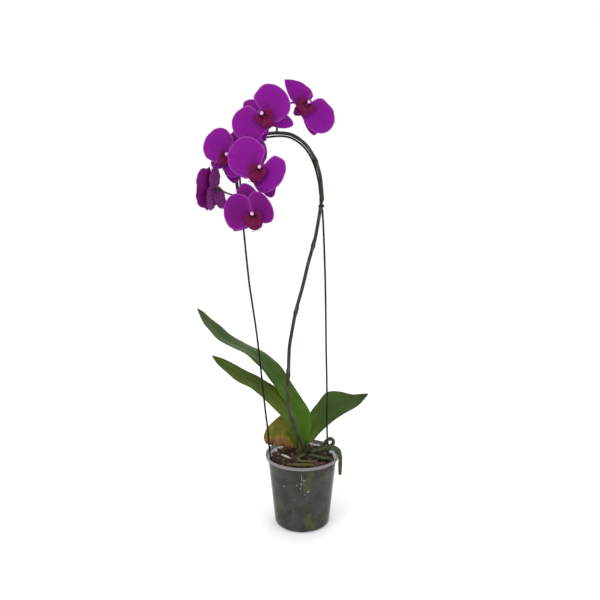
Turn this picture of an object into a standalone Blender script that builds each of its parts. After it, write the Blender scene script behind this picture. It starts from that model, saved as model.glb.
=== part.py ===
"""Potted moth orchid: one plant with six open flowers, its wire support hoop and its nursery pot.

The frame is in metres with +Z up. The origin is the centre of the pot's underside and -Y is the
front. Plant points are written (x, y, h): an h above zero is a height over the pot's rim, and an h
below zero is a depth under the top of the plant, so the plant follows both overall heights.
"""
import math
from dataclasses import dataclass, field

import bmesh
import bpy
import numpy as np
from mathutils import Matrix, Vector

# Overall sizes
PLANT_HEIGHT = 0.7015         # table to the top of the highest petal
POT_HEIGHT = 0.117

# Pot
RIM_RADIUS = 0.0600
WALL_TOP_RADIUS = 0.0560      # outside of the wall just under the rim
POT_BASE_RADIUS = 0.0445
POT_WALL = 0.0012
RIM_DEPTH = 0.0055
FOOT_ROUND = 0.0050
DRAIN_HOLES = 12
DRAIN_RADIUS = 0.0030
POT_STEPS = 48

# Bark
BARK_DEPTH = 0.0065           # bark surface below the rim
BARK_BUMP = 0.0022
GAP = 0.0004                  # clearance between pieces that touch
POCKET_GAP = 0.0008           # clearance round what is pushed into the bark

# Plant
CROWN_RADIUS = 0.0075
CROWN_STICKS_OUT = 0.0120     # top of the crown above the rim
CROWN_SUNK = 0.0250           # foot of the crown below the rim
LEAF_THICKNESS = 0.0018
SPIKE_FOOT_RADIUS = 0.0029
SPIKE_TIP_RADIUS = 0.0025
RIM_ROOT_RADIUS = 0.0033
RIM_ROOT_HANG = 0.0300        # how far the longest root hangs below the rim

# Hoop
WIRE_RADIUS = 0.0015
HOOP_BURIED = 0.0900          # how far the wire's ends stand below the rim
TIE_RADIUS = 0.0007

# Flowers
PETAL_LENGTH = 0.0460
PETAL_WIDTH = 0.0580
SEPAL_LENGTH = 0.0440
SEPAL_WIDTH = 0.0290
TEPAL_THICKNESS = 0.0009
COLUMN_RADIUS = 0.0026
COLUMN_LENGTH = 0.0090
STALK_RADIUS = 0.0015
LIP_LENGTH = 0.0270
LIP_WIDTH = 0.0260


def place(x, y, h):
    """World point of a plant point: h >= 0 is over the rim, h < 0 is under the plant's top."""
    return np.array((x, y, POT_HEIGHT + h if h >= 0 else PLANT_HEIGHT + h))


def sampled(points, share):
    """Point of the smooth curve through `points` at each share of its length, from 0 to 1."""
    p = np.array(points, float)
    p = np.vstack([2 * p[0] - p[1], p, 2 * p[-1] - p[-2]])
    span = len(p) - 3
    place_on = np.clip(np.asarray(share, float) * span, 0, span - 1e-9)
    i = place_on.astype(int)
    t = (place_on - i)[..., None]
    a, b, c, d = p[i], p[i + 1], p[i + 2], p[i + 3]
    return 0.5 * (2 * b + (c - a) * t + (2 * a - 5 * b + 4 * c - d) * t ** 2
                  + (3 * b - a - 3 * c + d) * t ** 3)


def smooth_route(points, step):
    """Points about `step` apart on the smooth curve through `points`."""
    fine = sampled(points, np.linspace(0, 1, 40 * len(points)))
    run = np.concatenate([[0], np.cumsum(np.linalg.norm(np.diff(fine, axis=0), axis=1))])
    even = np.linspace(0, run[-1], max(2, round(run[-1] / step) + 1))
    return np.stack([np.interp(even, run, fine[:, k]) for k in range(3)], axis=1)


def smooth_step(x, low, high):
    """0 below low, 1 above high and a smooth rise between them."""
    t = np.clip((x - low) / (high - low), 0, 1)
    return t * t * (3 - 2 * t)


def material(name, colour, roughness, alpha=1.0):
    """A Principled material with the piece's own colour."""
    made = bpy.data.materials.new(name)
    made.use_nodes = True
    shader = made.node_tree.nodes["Principled BSDF"]
    shader.inputs["Base Color"].default_value = (*colour, 1)
    shader.inputs["Roughness"].default_value = roughness
    shader.inputs["Metallic"].default_value = 0.0
    shader.inputs["Alpha"].default_value = alpha
    return made


def add_object(name, data, finish, folder):
    """Put a mesh or a curve into a collection with its material."""
    made = bpy.data.objects.new(name, data)
    data.materials.append(finish)
    folder.objects.link(made)
    if isinstance(data, bpy.types.Mesh):
        data.shade_smooth()
        data.set_sharp_from_angle(angle=math.radians(40))
    return made


def solidify(piece, thickness):
    """Give an open sheet its thickness, half to each side."""
    shell = piece.modifiers.new("thickness", "SOLIDIFY")
    shell.thickness = thickness
    shell.offset = 0


def cut(piece, cutter):
    """Take the cutter's space out of the piece."""
    hole = piece.modifiers.new("cut_" + cutter.name, "BOOLEAN")
    hole.operation = "DIFFERENCE"
    hole.object = cutter


def tube(name, points, radii, finish, folder, closed=False):
    """A round bar along points, with a radius for each point and closed ends."""
    curve = bpy.data.curves.new(name, "CURVE")
    curve.dimensions = "3D"
    curve.bevel_depth = 1.0
    curve.bevel_resolution = 2
    curve.use_fill_caps = not closed
    line = curve.splines.new("POLY")
    line.points.add(len(points) - 1)
    line.use_cyclic_u = closed
    for knot, where, radius in zip(line.points, points, radii):
        knot.co = (*where, 1)
        knot.radius = radius
    return add_object(name, curve, finish, folder)


def as_mesh(piece, folder):
    """Replace a curve object by its welded mesh, for a cut or for use as a cutter."""
    graph = bpy.context.evaluated_depsgraph_get()
    mesh = bpy.data.meshes.new_from_object(piece.evaluated_get(graph))
    body = bmesh.new()
    body.from_mesh(mesh)
    bmesh.ops.remove_doubles(body, verts=body.verts, dist=1e-6)
    body.to_mesh(mesh)
    body.free()
    name, matrix = piece.name, piece.matrix_world.copy()
    bpy.data.objects.remove(piece)
    made = bpy.data.objects.new(name, mesh)
    made.matrix_world = matrix
    folder.objects.link(made)
    return made


def sheet(name, across, along, shape, thickness, finish, folder):
    """A curved sheet: a flat grid from -1 to 1 both ways, carried to shape(a, b), made thick."""
    mesh = bpy.data.meshes.new(name)
    body = bmesh.new()
    bmesh.ops.create_grid(body, x_segments=across, y_segments=along, size=1)
    for corner in body.verts:
        corner.co = shape(corner.co.x, corner.co.y)
    body.to_mesh(mesh)
    body.free()
    made = add_object(name, mesh, finish, folder)
    solidify(made, thickness)
    return made


def turned(name, profile, steps, finish, folder):
    """A solid of revolution about Z from a (radius, height) profile, run top to bottom outside."""
    mesh = bpy.data.meshes.new(name)
    mesh.from_pydata([(r, 0, z) for r, z in profile],
                     [(i, i + 1) for i in range(len(profile) - 1)], [])
    made = add_object(name, mesh, finish, folder)
    screw = made.modifiers.new("turn", "SCREW")
    screw.steps = screw.render_steps = steps
    screw.use_merge_vertices = True
    screw.merge_threshold = 0.00001
    screw.use_smooth_shade = True
    return made


def wall_radius(z):
    """Outside radius of the pot's tapered wall at a height."""
    return POT_BASE_RADIUS + (WALL_TOP_RADIUS - POT_BASE_RADIUS) * z / (POT_HEIGHT - RIM_DEPTH)


# ---------------------------------------------------------------- pot and bark

def make_pot(parts, cutters):
    """Thin tapered nursery pot with a turned-out rim and drain holes round its foot."""
    foot = [(wall_radius(FOOT_ROUND) - FOOT_ROUND * (1 - math.cos(t)),
             FOOT_ROUND * (1 - math.sin(t))) for t in np.radians((0, 22.5, 45, 67.5, 90))]
    inner_foot = wall_radius(POT_WALL + FOOT_ROUND) - POT_WALL
    under = POT_HEIGHT - RIM_DEPTH
    bead = POT_WALL * 0.75
    outside = [(RIM_RADIUS - bead, POT_HEIGHT), (RIM_RADIUS, POT_HEIGHT - bead),
               (RIM_RADIUS, under + bead), (RIM_RADIUS - bead, under),
               (wall_radius(under), under)]
    inside = [(inner_foot - FOOT_ROUND * 0.8, POT_WALL), (inner_foot, POT_WALL + FOOT_ROUND * 0.8),
              (wall_radius(under) - POT_WALL, under),
              (RIM_RADIUS - 2 * POT_WALL, POT_HEIGHT - POT_WALL * 0.5),
              (RIM_RADIUS - 1.6 * POT_WALL, POT_HEIGHT)]
    profile = outside + foot + [(0, 0)]
    profile += [(0, POT_WALL)] + inside + outside[:1]
    plastic = material("pot_plastic", (0.09, 0.09, 0.085), 0.3)
    pot = turned("pot", profile, POT_STEPS, plastic, parts)

    mesh = bpy.data.meshes.new("drain_cutter")
    body = bmesh.new()
    for i in range(DRAIN_HOLES):
        turn = Matrix.Rotation(math.radians(360 / DRAIN_HOLES * (i + 0.5)), 4, "Z")
        out = Matrix.Translation((POT_BASE_RADIUS - FOOT_ROUND * 0.5, 0, FOOT_ROUND * 0.4))
        tilt = Matrix.Rotation(math.radians(130), 4, "Y")
        bmesh.ops.create_cone(body, cap_ends=True, segments=10, radius1=DRAIN_RADIUS,
                              radius2=DRAIN_RADIUS, depth=FOOT_ROUND * 2.4,
                              matrix=turn @ out @ tilt)
    body.to_mesh(mesh)
    body.free()
    cut(pot, add_object("drain_cutter", mesh, plastic, cutters))
    return pot


def bark_top(x, y):
    """Height of the lumpy bark surface, level at the wall."""
    calm = 1 - smooth_step(np.hypot(x, y), 0.7 * WALL_TOP_RADIUS, WALL_TOP_RADIUS)
    lumps = np.sin(190 * x + 1.1) * np.sin(170 * y + 0.4) + 0.6 * np.sin(330 * x - 260 * y)
    return POT_HEIGHT - BARK_DEPTH + BARK_BUMP * calm * lumps / 1.6


def make_bark(parts, cutters, buried):
    """Bark filling of the pot, with a pocket for each thing pushed into it."""
    top = POT_HEIGHT - BARK_DEPTH
    floor = POT_WALL + GAP
    low = wall_radius(POT_WALL + FOOT_ROUND) - POT_WALL - GAP
    rings = [top * 0.999, top * 0.66, top * 0.33]
    wall = [(wall_radius(z) - POT_WALL - GAP - 0.0002, z) for z in rings]
    wall += [(low - 0.0002, floor + FOOT_ROUND), (low - FOOT_ROUND, floor), (0, floor)]
    surface = [(0, top)] + [(wall[0][0] * k / 6, top) for k in range(1, 6)] + [wall[0]]
    bark = turned("bark_mix", surface + wall[1:], POT_STEPS, material("bark", (0.1, 0.055, 0.03), 0.9),
                  parts)
    graph = bpy.context.evaluated_depsgraph_get()
    mesh = bpy.data.meshes.new_from_object(bark.evaluated_get(graph))
    for corner in mesh.vertices:
        if corner.co.z > top - 0.0005 and corner.co.xy.length < wall[0][0] - 0.001:
            corner.co.z = bark_top(corner.co.x, corner.co.y)
    bark.modifiers.clear()
    bark.data = mesh
    for name, points, radius in buried:
        sleeve = tube("pocket_" + name, points, [radius] * len(points), mesh.materials[0], cutters)
        cut(bark, as_mesh(sleeve, cutters))
    return bark


# ---------------------------------------------------------------- hoop, spike and ties

HOOP_LEFT = ((-0.0515, -0.013, 0.000), (-0.0555, -0.013, 0.046), (-0.060, -0.012, 0.088),
             (-0.070, -0.010, 0.190), (-0.0775, -0.008, 0.247), (-0.083, -0.005, -0.297),
             (-0.0905, 0.002, -0.219), (-0.0930, 0.005, -0.184), (-0.0950, 0.008, -0.152),
             (-0.0949, 0.009, -0.1325), (-0.0908, 0.010, -0.1158), (-0.0830, 0.011, -0.1018),
             (-0.0710, 0.012, -0.0902), (-0.0585, 0.012, -0.0838))
HOOP_RIGHT = ((-0.0460, 0.012, -0.0816), (-0.0325, 0.012, -0.0809), (-0.0188, 0.012, -0.0829),
              (-0.0064, 0.012, -0.0896), (0.0043, 0.0122, -0.0991), (0.0120, 0.0125, -0.1103),
              (0.0184, 0.0130, -0.1240), (0.0230, 0.0142, -0.1400), (0.0258, 0.0145, -0.1535),
              (0.0276, 0.0145, -0.1700), (0.0300, 0.0142, -0.1860), (0.0320, 0.0130, -0.2050),
              (0.0350, 0.012, -0.269), (0.0370, 0.013, -0.333),
              (0.0385, 0.013, 0.171), (0.040, 0.014, 0.114), (0.041, 0.014, 0.032),
              (0.042, 0.014, 0.000))

SPIKE_LOW = ((0.001, -0.0125, 0.0155), (-0.004, -0.015, 0.030), (-0.012, -0.019, 0.054),
             (-0.020, -0.022, 0.078), (-0.023, -0.023, 0.110), (-0.0215, -0.022, 0.145),
             (-0.021, -0.021, 0.164), (-0.020, -0.020, 0.183), (-0.017, -0.017, 0.202),
             (-0.010, -0.011, 0.238), (-0.000, -0.004, -0.311), (0.009, 0.002, -0.274),
             (0.014, 0.004, -0.256), (0.0195, 0.006, -0.237), (0.0245, 0.0075, -0.210),
             (0.0275, 0.0080, -0.191))
SPIKE_HIGH = ((0.0300, 0.0085, -0.170), (0.0287, 0.0092, -0.152), (0.0268, 0.0108, -0.138),
              (0.0222, 0.0120, -0.1225), (0.0157, 0.0120, -0.1082), (0.0077, 0.0120, -0.0962),
              (-0.0038, 0.0120, -0.0858), (-0.0174, 0.0120, -0.0785), (-0.0320, 0.0120, -0.0763),
              (-0.0470, 0.0120, -0.0766), (-0.0600, 0.0115, -0.0790), (-0.0740, 0.0110, -0.0860),
              (-0.0870, 0.0100, -0.0985), (-0.0955, 0.0090, -0.1140), (-0.0995, 0.0070, -0.1320),
              (-0.0995, 0.0020, -0.1520), (-0.0960, -0.0060, -0.1700))


def hoop_points():
    """Centre line of the wire, from its left foot over the top to its right foot."""
    left = [place(*p) for p in HOOP_LEFT]
    right = [place(*p) for p in HOOP_RIGHT]
    foot_left = left[0] - (0, 0, HOOP_BURIED)
    foot_right = right[-1] - (0, 0, HOOP_BURIED)
    foot_left[:2] *= 0.78
    foot_right[:2] *= 0.80
    return smooth_route([foot_left] + left + right + [foot_right], 0.012)


def spike_points():
    """Centre line of the flower spike, from the crown to its tip behind the lowest flower."""
    return smooth_route([place(*p) for p in SPIKE_LOW + SPIKE_HIGH], 0.011)


def tie_points(centre_a, centre_b, radius_a, radius_b, along):
    """Closed loop round two round bars that run side by side in the direction `along`."""
    middle = (centre_a + centre_b) / 2
    side = Vector(centre_a - centre_b).normalized()
    lift = side.cross(Vector(along).normalized())
    reach = np.linalg.norm(centre_a - centre_b) / 2 + max(radius_a, radius_b) + TIE_RADIUS + GAP
    height = max(radius_a, radius_b) + TIE_RADIUS + GAP
    turns = np.linspace(0, 2 * math.pi, 20, endpoint=False)
    bulge = 1 + 0.12 * np.sin(2 * turns) ** 2
    return [Vector(middle) + side * reach * math.cos(t) * s + lift * height * math.sin(t) * s
            for t, s in zip(turns, bulge)]


def nearest(points, where):
    """Index of the point that is nearest to `where`."""
    return int(np.argmin(np.linalg.norm(points - where, axis=1)))


TIES = (("spike_tie_right", (0.0315, 0.010, -0.186)), ("spike_tie_left", (-0.057, 0.012, -0.082)))


def make_supports(parts):
    """The wire hoop, the spike that is led over it, and the ties that hold the two together."""
    wire = hoop_points()
    tube("support_hoop", wire, [WIRE_RADIUS] * len(wire),
         material("wire", (0.015, 0.02, 0.016), 0.45), parts)
    spike = spike_points()
    radii = np.linspace(SPIKE_FOOT_RADIUS, SPIKE_TIP_RADIUS, len(spike))
    tube("flower_spike", spike, radii, material("spike", (0.055, 0.05, 0.035), 0.6), parts)
    rubber = material("tie", (0.03, 0.035, 0.03), 0.6)
    fine_wire, fine_spike = smooth_route(wire, 0.001), smooth_route(spike, 0.001)
    for name, where in TIES:
        i, j = nearest(fine_wire, place(*where)), nearest(fine_spike, place(*where))
        loop = tie_points(fine_spike[j], fine_wire[i], SPIKE_FOOT_RADIUS, WIRE_RADIUS,
                          fine_wire[i + 1] - fine_wire[i - 1])
        tube(name, loop, [TIE_RADIUS] * len(loop), rubber, parts, closed=True)
    return wire


# ---------------------------------------------------------------- crown, leaves and roots

@dataclass
class Leaf:
    """A leaf: stations of (centre, half width) along it, and how deep its keel folds."""
    name: str
    stations: tuple
    fold: float
    colour: tuple


LEAVES = (
    Leaf("leaf_upper_left",
         (((0.002, 0.003, 0.0240), (0.0070, 0.0045, 0.000)),
          ((-0.0005, 0.0085, 0.0623), (0.0135, 0.0072, -0.003)),
          ((-0.015, 0.012, 0.0883), (0.0150, 0.0110, -0.004)),
          ((-0.030, 0.016, 0.1103), (0.0150, 0.0150, -0.004)),
          ((-0.045, 0.019, 0.1313), (0.0140, 0.0180, -0.002)),
          ((-0.0645, 0.021, 0.1523), (0.0120, 0.0200, -0.001)),
          ((-0.0885, 0.022, 0.1683), (0.0095, 0.0205, -0.002)),
          ((-0.1185, 0.022, 0.1833), (0.0090, 0.0195, -0.001)),
          ((-0.1425, 0.021, 0.2053), (0.0065, 0.0145, 0.001)),
          ((-0.160, 0.020, 0.2263), (0.0030, 0.0070, 0.001)),
          ((-0.168, 0.020, 0.2363), (0.0003, 0.0007, 0.000))), 0.16, (0.045, 0.11, 0.02)),
    Leaf("leaf_lower_left",
         (((-0.0085, -0.002, 0.0220), (0.0025, 0.0040, 0.000)),
          ((-0.0205, -0.0065, 0.0588), (0.0055, 0.0045, 0.001)),
          ((-0.0330, -0.001, 0.0818), (0.0062, 0.0080, 0.001)),
          ((-0.050, 0.004, 0.0993), (0.0065, 0.0120, 0.003)),
          ((-0.072, 0.008, 0.1148), (0.0070, 0.0130, 0.005)),
          ((-0.094, 0.008, 0.1258), (0.0070, 0.0130, 0.005)),
          ((-0.115, 0.004, 0.1418), (0.0065, 0.0110, 0.003)),
          ((-0.131, 0.000, 0.1548), (0.0045, 0.0070, 0.002)),
          ((-0.143, -0.003, 0.1648), (0.0003, 0.0007, 0.000))), 0.14, (0.10, 0.13, 0.03)),
    Leaf("leaf_right",
         (((0.0115, 0.010, 0.0205), (0.0030, 0.0050, 0.004)),
          ((0.0165, 0.018, 0.0358), (-0.0030, 0.0090, 0.016)),
          ((0.029, 0.033, 0.0488), (-0.0030, 0.0115, 0.021)),
          ((0.047, 0.0455, 0.0628), (-0.0050, 0.0130, 0.021)),
          ((0.068, 0.048, 0.0698), (-0.0040, 0.0140, 0.0145)),
          ((0.089, 0.047, 0.0738), (-0.0030, 0.0110, 0.007)),
          ((0.102, 0.045, 0.0798), (-0.0010, 0.0055, 0.004)),
          ((0.111, 0.044, 0.0858), (-0.0002, 0.0008, 0.0002))), 0.12, (0.05, 0.11, 0.02)),
    Leaf("leaf_old",
         (((-0.0120, 0.000, 0.0150), (-0.0010, 0.0035, 0.0030)),
          ((-0.0180, 0.000, 0.030), (0.0010, 0.0075, 0.0170)),
          ((-0.0270, 0.001, 0.038), (0.0010, 0.0100, 0.0220)),
          ((-0.0390, 0.002, 0.037), (0.0020, 0.0110, 0.0215)),
          ((-0.0510, 0.002, 0.033), (0.0030, 0.0090, 0.0165)),
          ((-0.0590, 0.001, 0.0295), (0.0010, 0.0050, 0.0105)),
          ((-0.0625, 0.000, 0.028), (0.0001, 0.0008, 0.0008))), 0.10, (0.20, 0.18, 0.03)))


def make_leaf(leaf, parts):
    """A strap-shaped blade with a keel: a sheet spread between the two edges of its stations."""
    centres = [place(*centre) for centre, _ in leaf.stations]
    halves = [half for _, half in leaf.stations]

    def shape(across, along):
        share = (along + 1) / 2
        centre, half = Vector(sampled(centres, share)), Vector(sampled(halves, share))
        ahead = Vector(sampled(centres, min(1, share + 0.02)) - sampled(centres, share - 0.02))
        keel = half.cross(ahead).normalized() * half.length * leaf.fold * (1 - abs(across))
        return centre + half * across + (keel if keel.z < 0 else -keel)

    return sheet(leaf.name, 4, 14, shape, LEAF_THICKNESS, material(leaf.name, leaf.colour, 0.45), parts)


@dataclass
class Root:
    """An air root: its route and its radius at foot, middle and tip."""
    name: str
    route: tuple
    radii: tuple


def rim_root_route():
    """Route of the root that leans over the rim and hangs outside it."""
    out = RIM_RADIUS + RIM_ROOT_RADIUS + GAP
    bearing = math.radians(-20)
    x, y = math.cos(bearing), math.sin(bearing)
    return ((0.013, -0.001, 0.0015), (0.026, -0.004, 0.0050), (0.038, -0.009, 0.0110),
            (0.80 * out * x, 0.80 * out * y, 0.0160), (0.955 * out * x, 0.955 * out * y, 0.0130),
            (1.015 * out * x, 1.015 * out * y, 0.0015))


ROOTS = (
    Root("root_front_arc", ((0.004, -0.0120, 0.0010), (-0.003, -0.0180, 0.0020),
                            (-0.007, -0.0255, 0.0005), (-0.004, -0.0320, 0.0000),
                            (0.005, -0.0345, 0.0000), (0.017, -0.0350, 0.0000)),
         (0.0026, 0.0022, 0.0016)),
    Root("root_along_rim", ((-0.024, -0.0440, 0.0000), (-0.012, -0.0475, 0.0010),
                            (0.002, -0.0490, 0.0010), (0.015, -0.0475, 0.0000)),
         (0.0016, 0.0026, 0.0020)),
    Root("root_right", ((0.012, -0.0110, 0.0010), (0.022, -0.0165, 0.0010),
                        (0.033, -0.0210, 0.0000), (0.044, -0.0240, 0.0000)),
         (0.0024, 0.0022, 0.0015)),
    Root("root_curl", ((0.0265, 0.0135, 0.0000), (0.0310, 0.0095, 0.0060), (0.0355, 0.0065, 0.0120),
                       (0.0392, 0.0045, 0.0180), (0.0430, 0.0028, 0.0225), (0.0485, 0.0015, 0.0228),
                       (0.0512, 0.0008, 0.0182), (0.0485, 0.0000, 0.0138), (0.0445, -0.0005, 0.0130)),
         (0.0030, 0.0027, 0.0025)),
    Root("root_dried", ((-0.034, -0.0080, 0.0005), (-0.027, -0.0135, 0.0000),
                        (-0.019, -0.0210, 0.0000)), (0.0008, 0.0017, 0.0008)))


def make_roots(parts):
    """Air roots that lie on the bark and the one that hangs over the rim."""
    green = material("root_green", (0.07, 0.11, 0.03), 0.6)
    pale = material("root_pale", (0.5, 0.47, 0.4), 0.8)
    for root in ROOTS:
        points = smooth_route([place(*p) for p in root.route], 0.0032)
        radii = np.interp(np.linspace(0, 1, len(points)), (0, 0.5, 1), root.radii)
        tube(root.name, points, radii, pale if root.name == "root_dried" else green, parts)
    out = [place(*p) for p in rim_root_route()]
    hang = [out[-1] - (0, 0, RIM_ROOT_HANG * share) for share in (0.5, 1)]
    points = smooth_route(out + hang, 0.0045)
    share = np.linspace(0, 1, len(points))
    radii = RIM_ROOT_RADIUS * np.interp(share, (0, 0.3, 0.45, 0.7, 1), (0.8, 1.25, 1.3, 1.0, 0.85))
    tube("root_over_rim", points, radii, green, parts)


def make_crown(parts):
    """Short stem of the plant, from inside the bark to just under the leaves."""
    foot, top = POT_HEIGHT - CROWN_SUNK, POT_HEIGHT + CROWN_STICKS_OUT
    points = np.linspace((0, 0.002, foot), (0, 0.002, top), 5)
    radii = CROWN_RADIUS * np.array((0.8, 1.0, 1.0, 0.95, 0.7))
    tube("plant_crown", points, radii, material("crown", (0.08, 0.10, 0.03), 0.6), parts)
    return points[:4], CROWN_RADIUS


# ---------------------------------------------------------------- flowers

@dataclass
class Tepal:
    """A petal or sepal seen from its base: direction in degrees, size, and how it curves."""
    turn: float               # direction in the flower's face, 0 is its right and 90 its top
    length: float
    width: float
    set_off: float            # how far it stands in front of the flower's base plane
    sweep: float = 5          # degrees forward
    curl: float = 0.06        # how far the tip bends back, as a share of the length
    cup: float = 0.03         # how far the margins bend forward, as a share of the width
    foot: float = 1.8         # how full the sheet is beside its foot, 1 is a plain ellipse
    point: float = 0.0        # how much narrower the tip is


def tepal_kinds():
    """The five tepals of a flower, front view."""
    petal = {"length": PETAL_LENGTH, "width": PETAL_WIDTH, "set_off": 0.0012}
    sepal = {"length": SEPAL_LENGTH, "width": SEPAL_WIDTH, "set_off": -0.0014, "sweep": -2,
             "curl": 0.10, "cup": -0.02, "foot": 0.55, "point": 0.25}
    return {"right_petal": Tepal(5, **petal), "left_petal": Tepal(175, **petal),
            "dorsal_sepal": Tepal(90, **sepal), "right_sepal": Tepal(-48, **sepal),
            "left_sepal": Tepal(228, **{**sepal, "set_off": -0.0028})}


@dataclass
class Flower:
    """A flower: heart is its centre, then the way it faces in degrees, its size and its stalk."""
    name: str
    heart: tuple
    yaw: float
    pitch: float
    roll: float
    size: float
    stalk: tuple
    tweaks: dict = field(default_factory=dict)

    def axes(self):
        """Right, up and forward directions of the flower's face."""
        yaw, pitch, roll = (math.radians(v) for v in (self.yaw, self.pitch, self.roll))
        front = Vector((math.sin(yaw) * math.cos(pitch), -math.cos(yaw) * math.cos(pitch),
                        math.sin(pitch)))
        level = Vector((0, 0, 1)).cross(front).normalized()
        upright = front.cross(level)
        up = upright * math.cos(roll) + level * math.sin(roll)
        return up.cross(front), up, front


FLOWERS = (
    Flower("flower_1", (0.0085, 0.012, -0.032), 12, 4, 42, 1.0,
           ((-0.0385, 0.0140, -0.0700), (-0.0330, 0.0210, -0.0500), (-0.0190, 0.0280, -0.0310)),
           {"left_petal": {"turn": 189, "length": 0.051, "width": 0.040, "foot": 2.0, "point": 0.8},
            "right_petal": {"turn": -10, "length": 0.050, "width": 0.047},
            "dorsal_sepal": {"turn": 138, "length": 0.030, "width": 0.024, "sweep": -30},
            "left_sepal": {"turn": 262, "length": 0.025, "width": 0.018},
            "right_sepal": {"turn": -34, "length": 0.046, "width": 0.026}}),
    Flower("flower_2", (-0.0595, -0.026, -0.052), 4, 2, -34, 1.0,
           ((-0.0680, 0.0095, -0.0770), (-0.0700, 0.0010, -0.0660)),
           {"left_petal": {"turn": 188, "length": 0.047, "width": 0.050},
            "right_petal": {"turn": 9, "length": 0.044, "width": 0.055},
            "dorsal_sepal": {"turn": 114, "length": 0.028, "width": 0.026},
            "right_sepal": {"turn": -51, "length": 0.047, "width": 0.026}}),
    Flower("flower_3", (-0.1100, -0.008, -0.108), -15, -2, 33, 1.0,
           ((-0.1030, 0.0075, -0.1240), (-0.1060, 0.0060, -0.1170)),
           {"left_petal": {"turn": 173, "length": 0.040, "width": 0.052},
            "right_petal": {"turn": -9, "length": 0.034, "width": 0.050},
            "left_sepal": {"turn": 243, "length": 0.034, "width": 0.026},
            "right_sepal": {"length": 0.042, "sweep": -0.5},
            "lip": {"length": 0.021, "width": 0.019}}),
    Flower("flower_4", (-0.0598, -0.042, -0.128), -14, 2, 24, 1.0,
           ((-0.0955, 0.0055, -0.1180), (-0.0800, -0.0080, -0.1240), (-0.0640, -0.0220, -0.1280)),
           {"left_petal": {"turn": 172, "length": 0.052, "width": 0.058},
            "right_petal": {"turn": -22, "length": 0.035, "width": 0.051, "foot": 2.1},
            "dorsal_sepal": {"turn": 120, "length": 0.040, "width": 0.022},
            "left_sepal": {"turn": 240, "length": 0.024, "width": 0.022}}),
    Flower("flower_5", (-0.1335, -0.015, -0.160), -110, 2, 0, 1.0,
           ((-0.1012, -0.0045, -0.1695), (-0.1130, -0.0110, -0.1660)),
           {"left_petal": {"length": 0.033, "width": 0.054, "sweep": 16},
            "right_petal": {"length": 0.033, "width": 0.056, "sweep": 16},
            "dorsal_sepal": {"length": 0.032, "curl": 0.05},
            "left_sepal": {"length": 0.034, "sweep": -24, "width": 0.024},
            "right_sepal": {"length": 0.036, "width": 0.026}}),
    Flower("flower_6", (-0.0725, -0.056, -0.193), 0, -6, -14, 1.0,
           ((-0.0930, -0.0110, -0.1760), (-0.0850, -0.0230, -0.1850), (-0.0750, -0.0380, -0.1920)),
           {"left_petal": {"turn": 162, "length": 0.039, "width": 0.053, "foot": 1.5},
            "right_petal": {"turn": 16, "length": 0.0285, "width": 0.050, "foot": 1.5},
            "dorsal_sepal": {"turn": 94, "length": 0.041, "width": 0.034},
            "left_sepal": {"turn": 203, "length": 0.036, "width": 0.026, "point": 0.6},
            "right_sepal": {"turn": -78, "length": 0.024, "width": 0.018}}))


def disc(a, b):
    """Carry the square from -1 to 1 both ways onto the unit disc."""
    return a * math.sqrt(1 - b * b / 2), b * math.sqrt(1 - a * a / 2)


def make_tepal(flower, kind, tepal, parts, finish):
    """One petal or sepal: a disc drawn out along its direction, swept, curled and cupped."""
    for value, size in flower.tweaks.get(kind, {}).items():
        setattr(tepal, value, size)
    right, up, front = flower.axes()
    heart, size = Vector(place(*flower.heart)), flower.size
    turn, sweep = math.radians(tepal.turn), math.radians(tepal.sweep)
    ahead = right * math.cos(turn) + up * math.sin(turn)
    side = up * math.cos(turn) - right * math.sin(turn)
    claw = (COLUMN_RADIUS + GAP + TEPAL_THICKNESS / 2) / size

    def shape(a, b):
        x, y = disc(a, b)
        along = (1 + y) / 2
        ears = tepal.foot + (1 - tepal.foot) * min(1, along / 0.3)
        spread = ears * (1 - tepal.point * along ** 2)
        across = x * tepal.width / 2 * spread
        reach = along * tepal.length
        lift = (tepal.set_off + reach * math.sin(sweep) - tepal.curl * reach ** 2 / SEPAL_LENGTH
                + tepal.cup * tepal.width * (2 * across / tepal.width) ** 2)
        reach = claw + reach * math.cos(sweep)
        return heart + (ahead * reach + side * across + front * lift) * size

    steps = 6 if "petal" in kind else 5
    sheet(f"{flower.name}_{kind}", steps, steps, shape, TEPAL_THICKNESS, finish, parts)


def make_lip(flower, parts, finish):
    """The lip: a sheet rolled round the column's underside that opens into a pointed front lobe."""
    right, up, front = flower.axes()
    heart, size = Vector(place(*flower.heart)), flower.size
    start = (COLUMN_RADIUS + GAP + TEPAL_THICKNESS / 2) / size + 0.0020
    lip_length = flower.tweaks.get("lip", {}).get("length", LIP_LENGTH)
    lip_width = flower.tweaks.get("lip", {}).get("width", LIP_WIDTH)

    def shape(a, b):
        x, y = disc(a, b)
        along = (1 + y) / 2
        width = lip_width * (1 - 0.45 * smooth_step(along, 0.45, 0.8))
        roll = 1.9 * (1 - 0.75 * smooth_step(along, 0.25, 0.75))
        angle = x * roll
        radius = width / 2 / 1.9
        out = radius * math.sin(angle) * 1.9 / roll ** 0.3
        rise = radius * (1 - math.cos(angle)) * 1.2
        drop = start + lip_length * 0.72 * along
        forward = 0.0035 + lip_length * (0.75 * along - 0.55 * along ** 3)
        return heart + (right * out + up * (rise * 0.45 - drop) + front * (forward + rise)) * size

    sheet(f"{flower.name}_lip", 6, 6, shape, TEPAL_THICKNESS, finish, parts)


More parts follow.
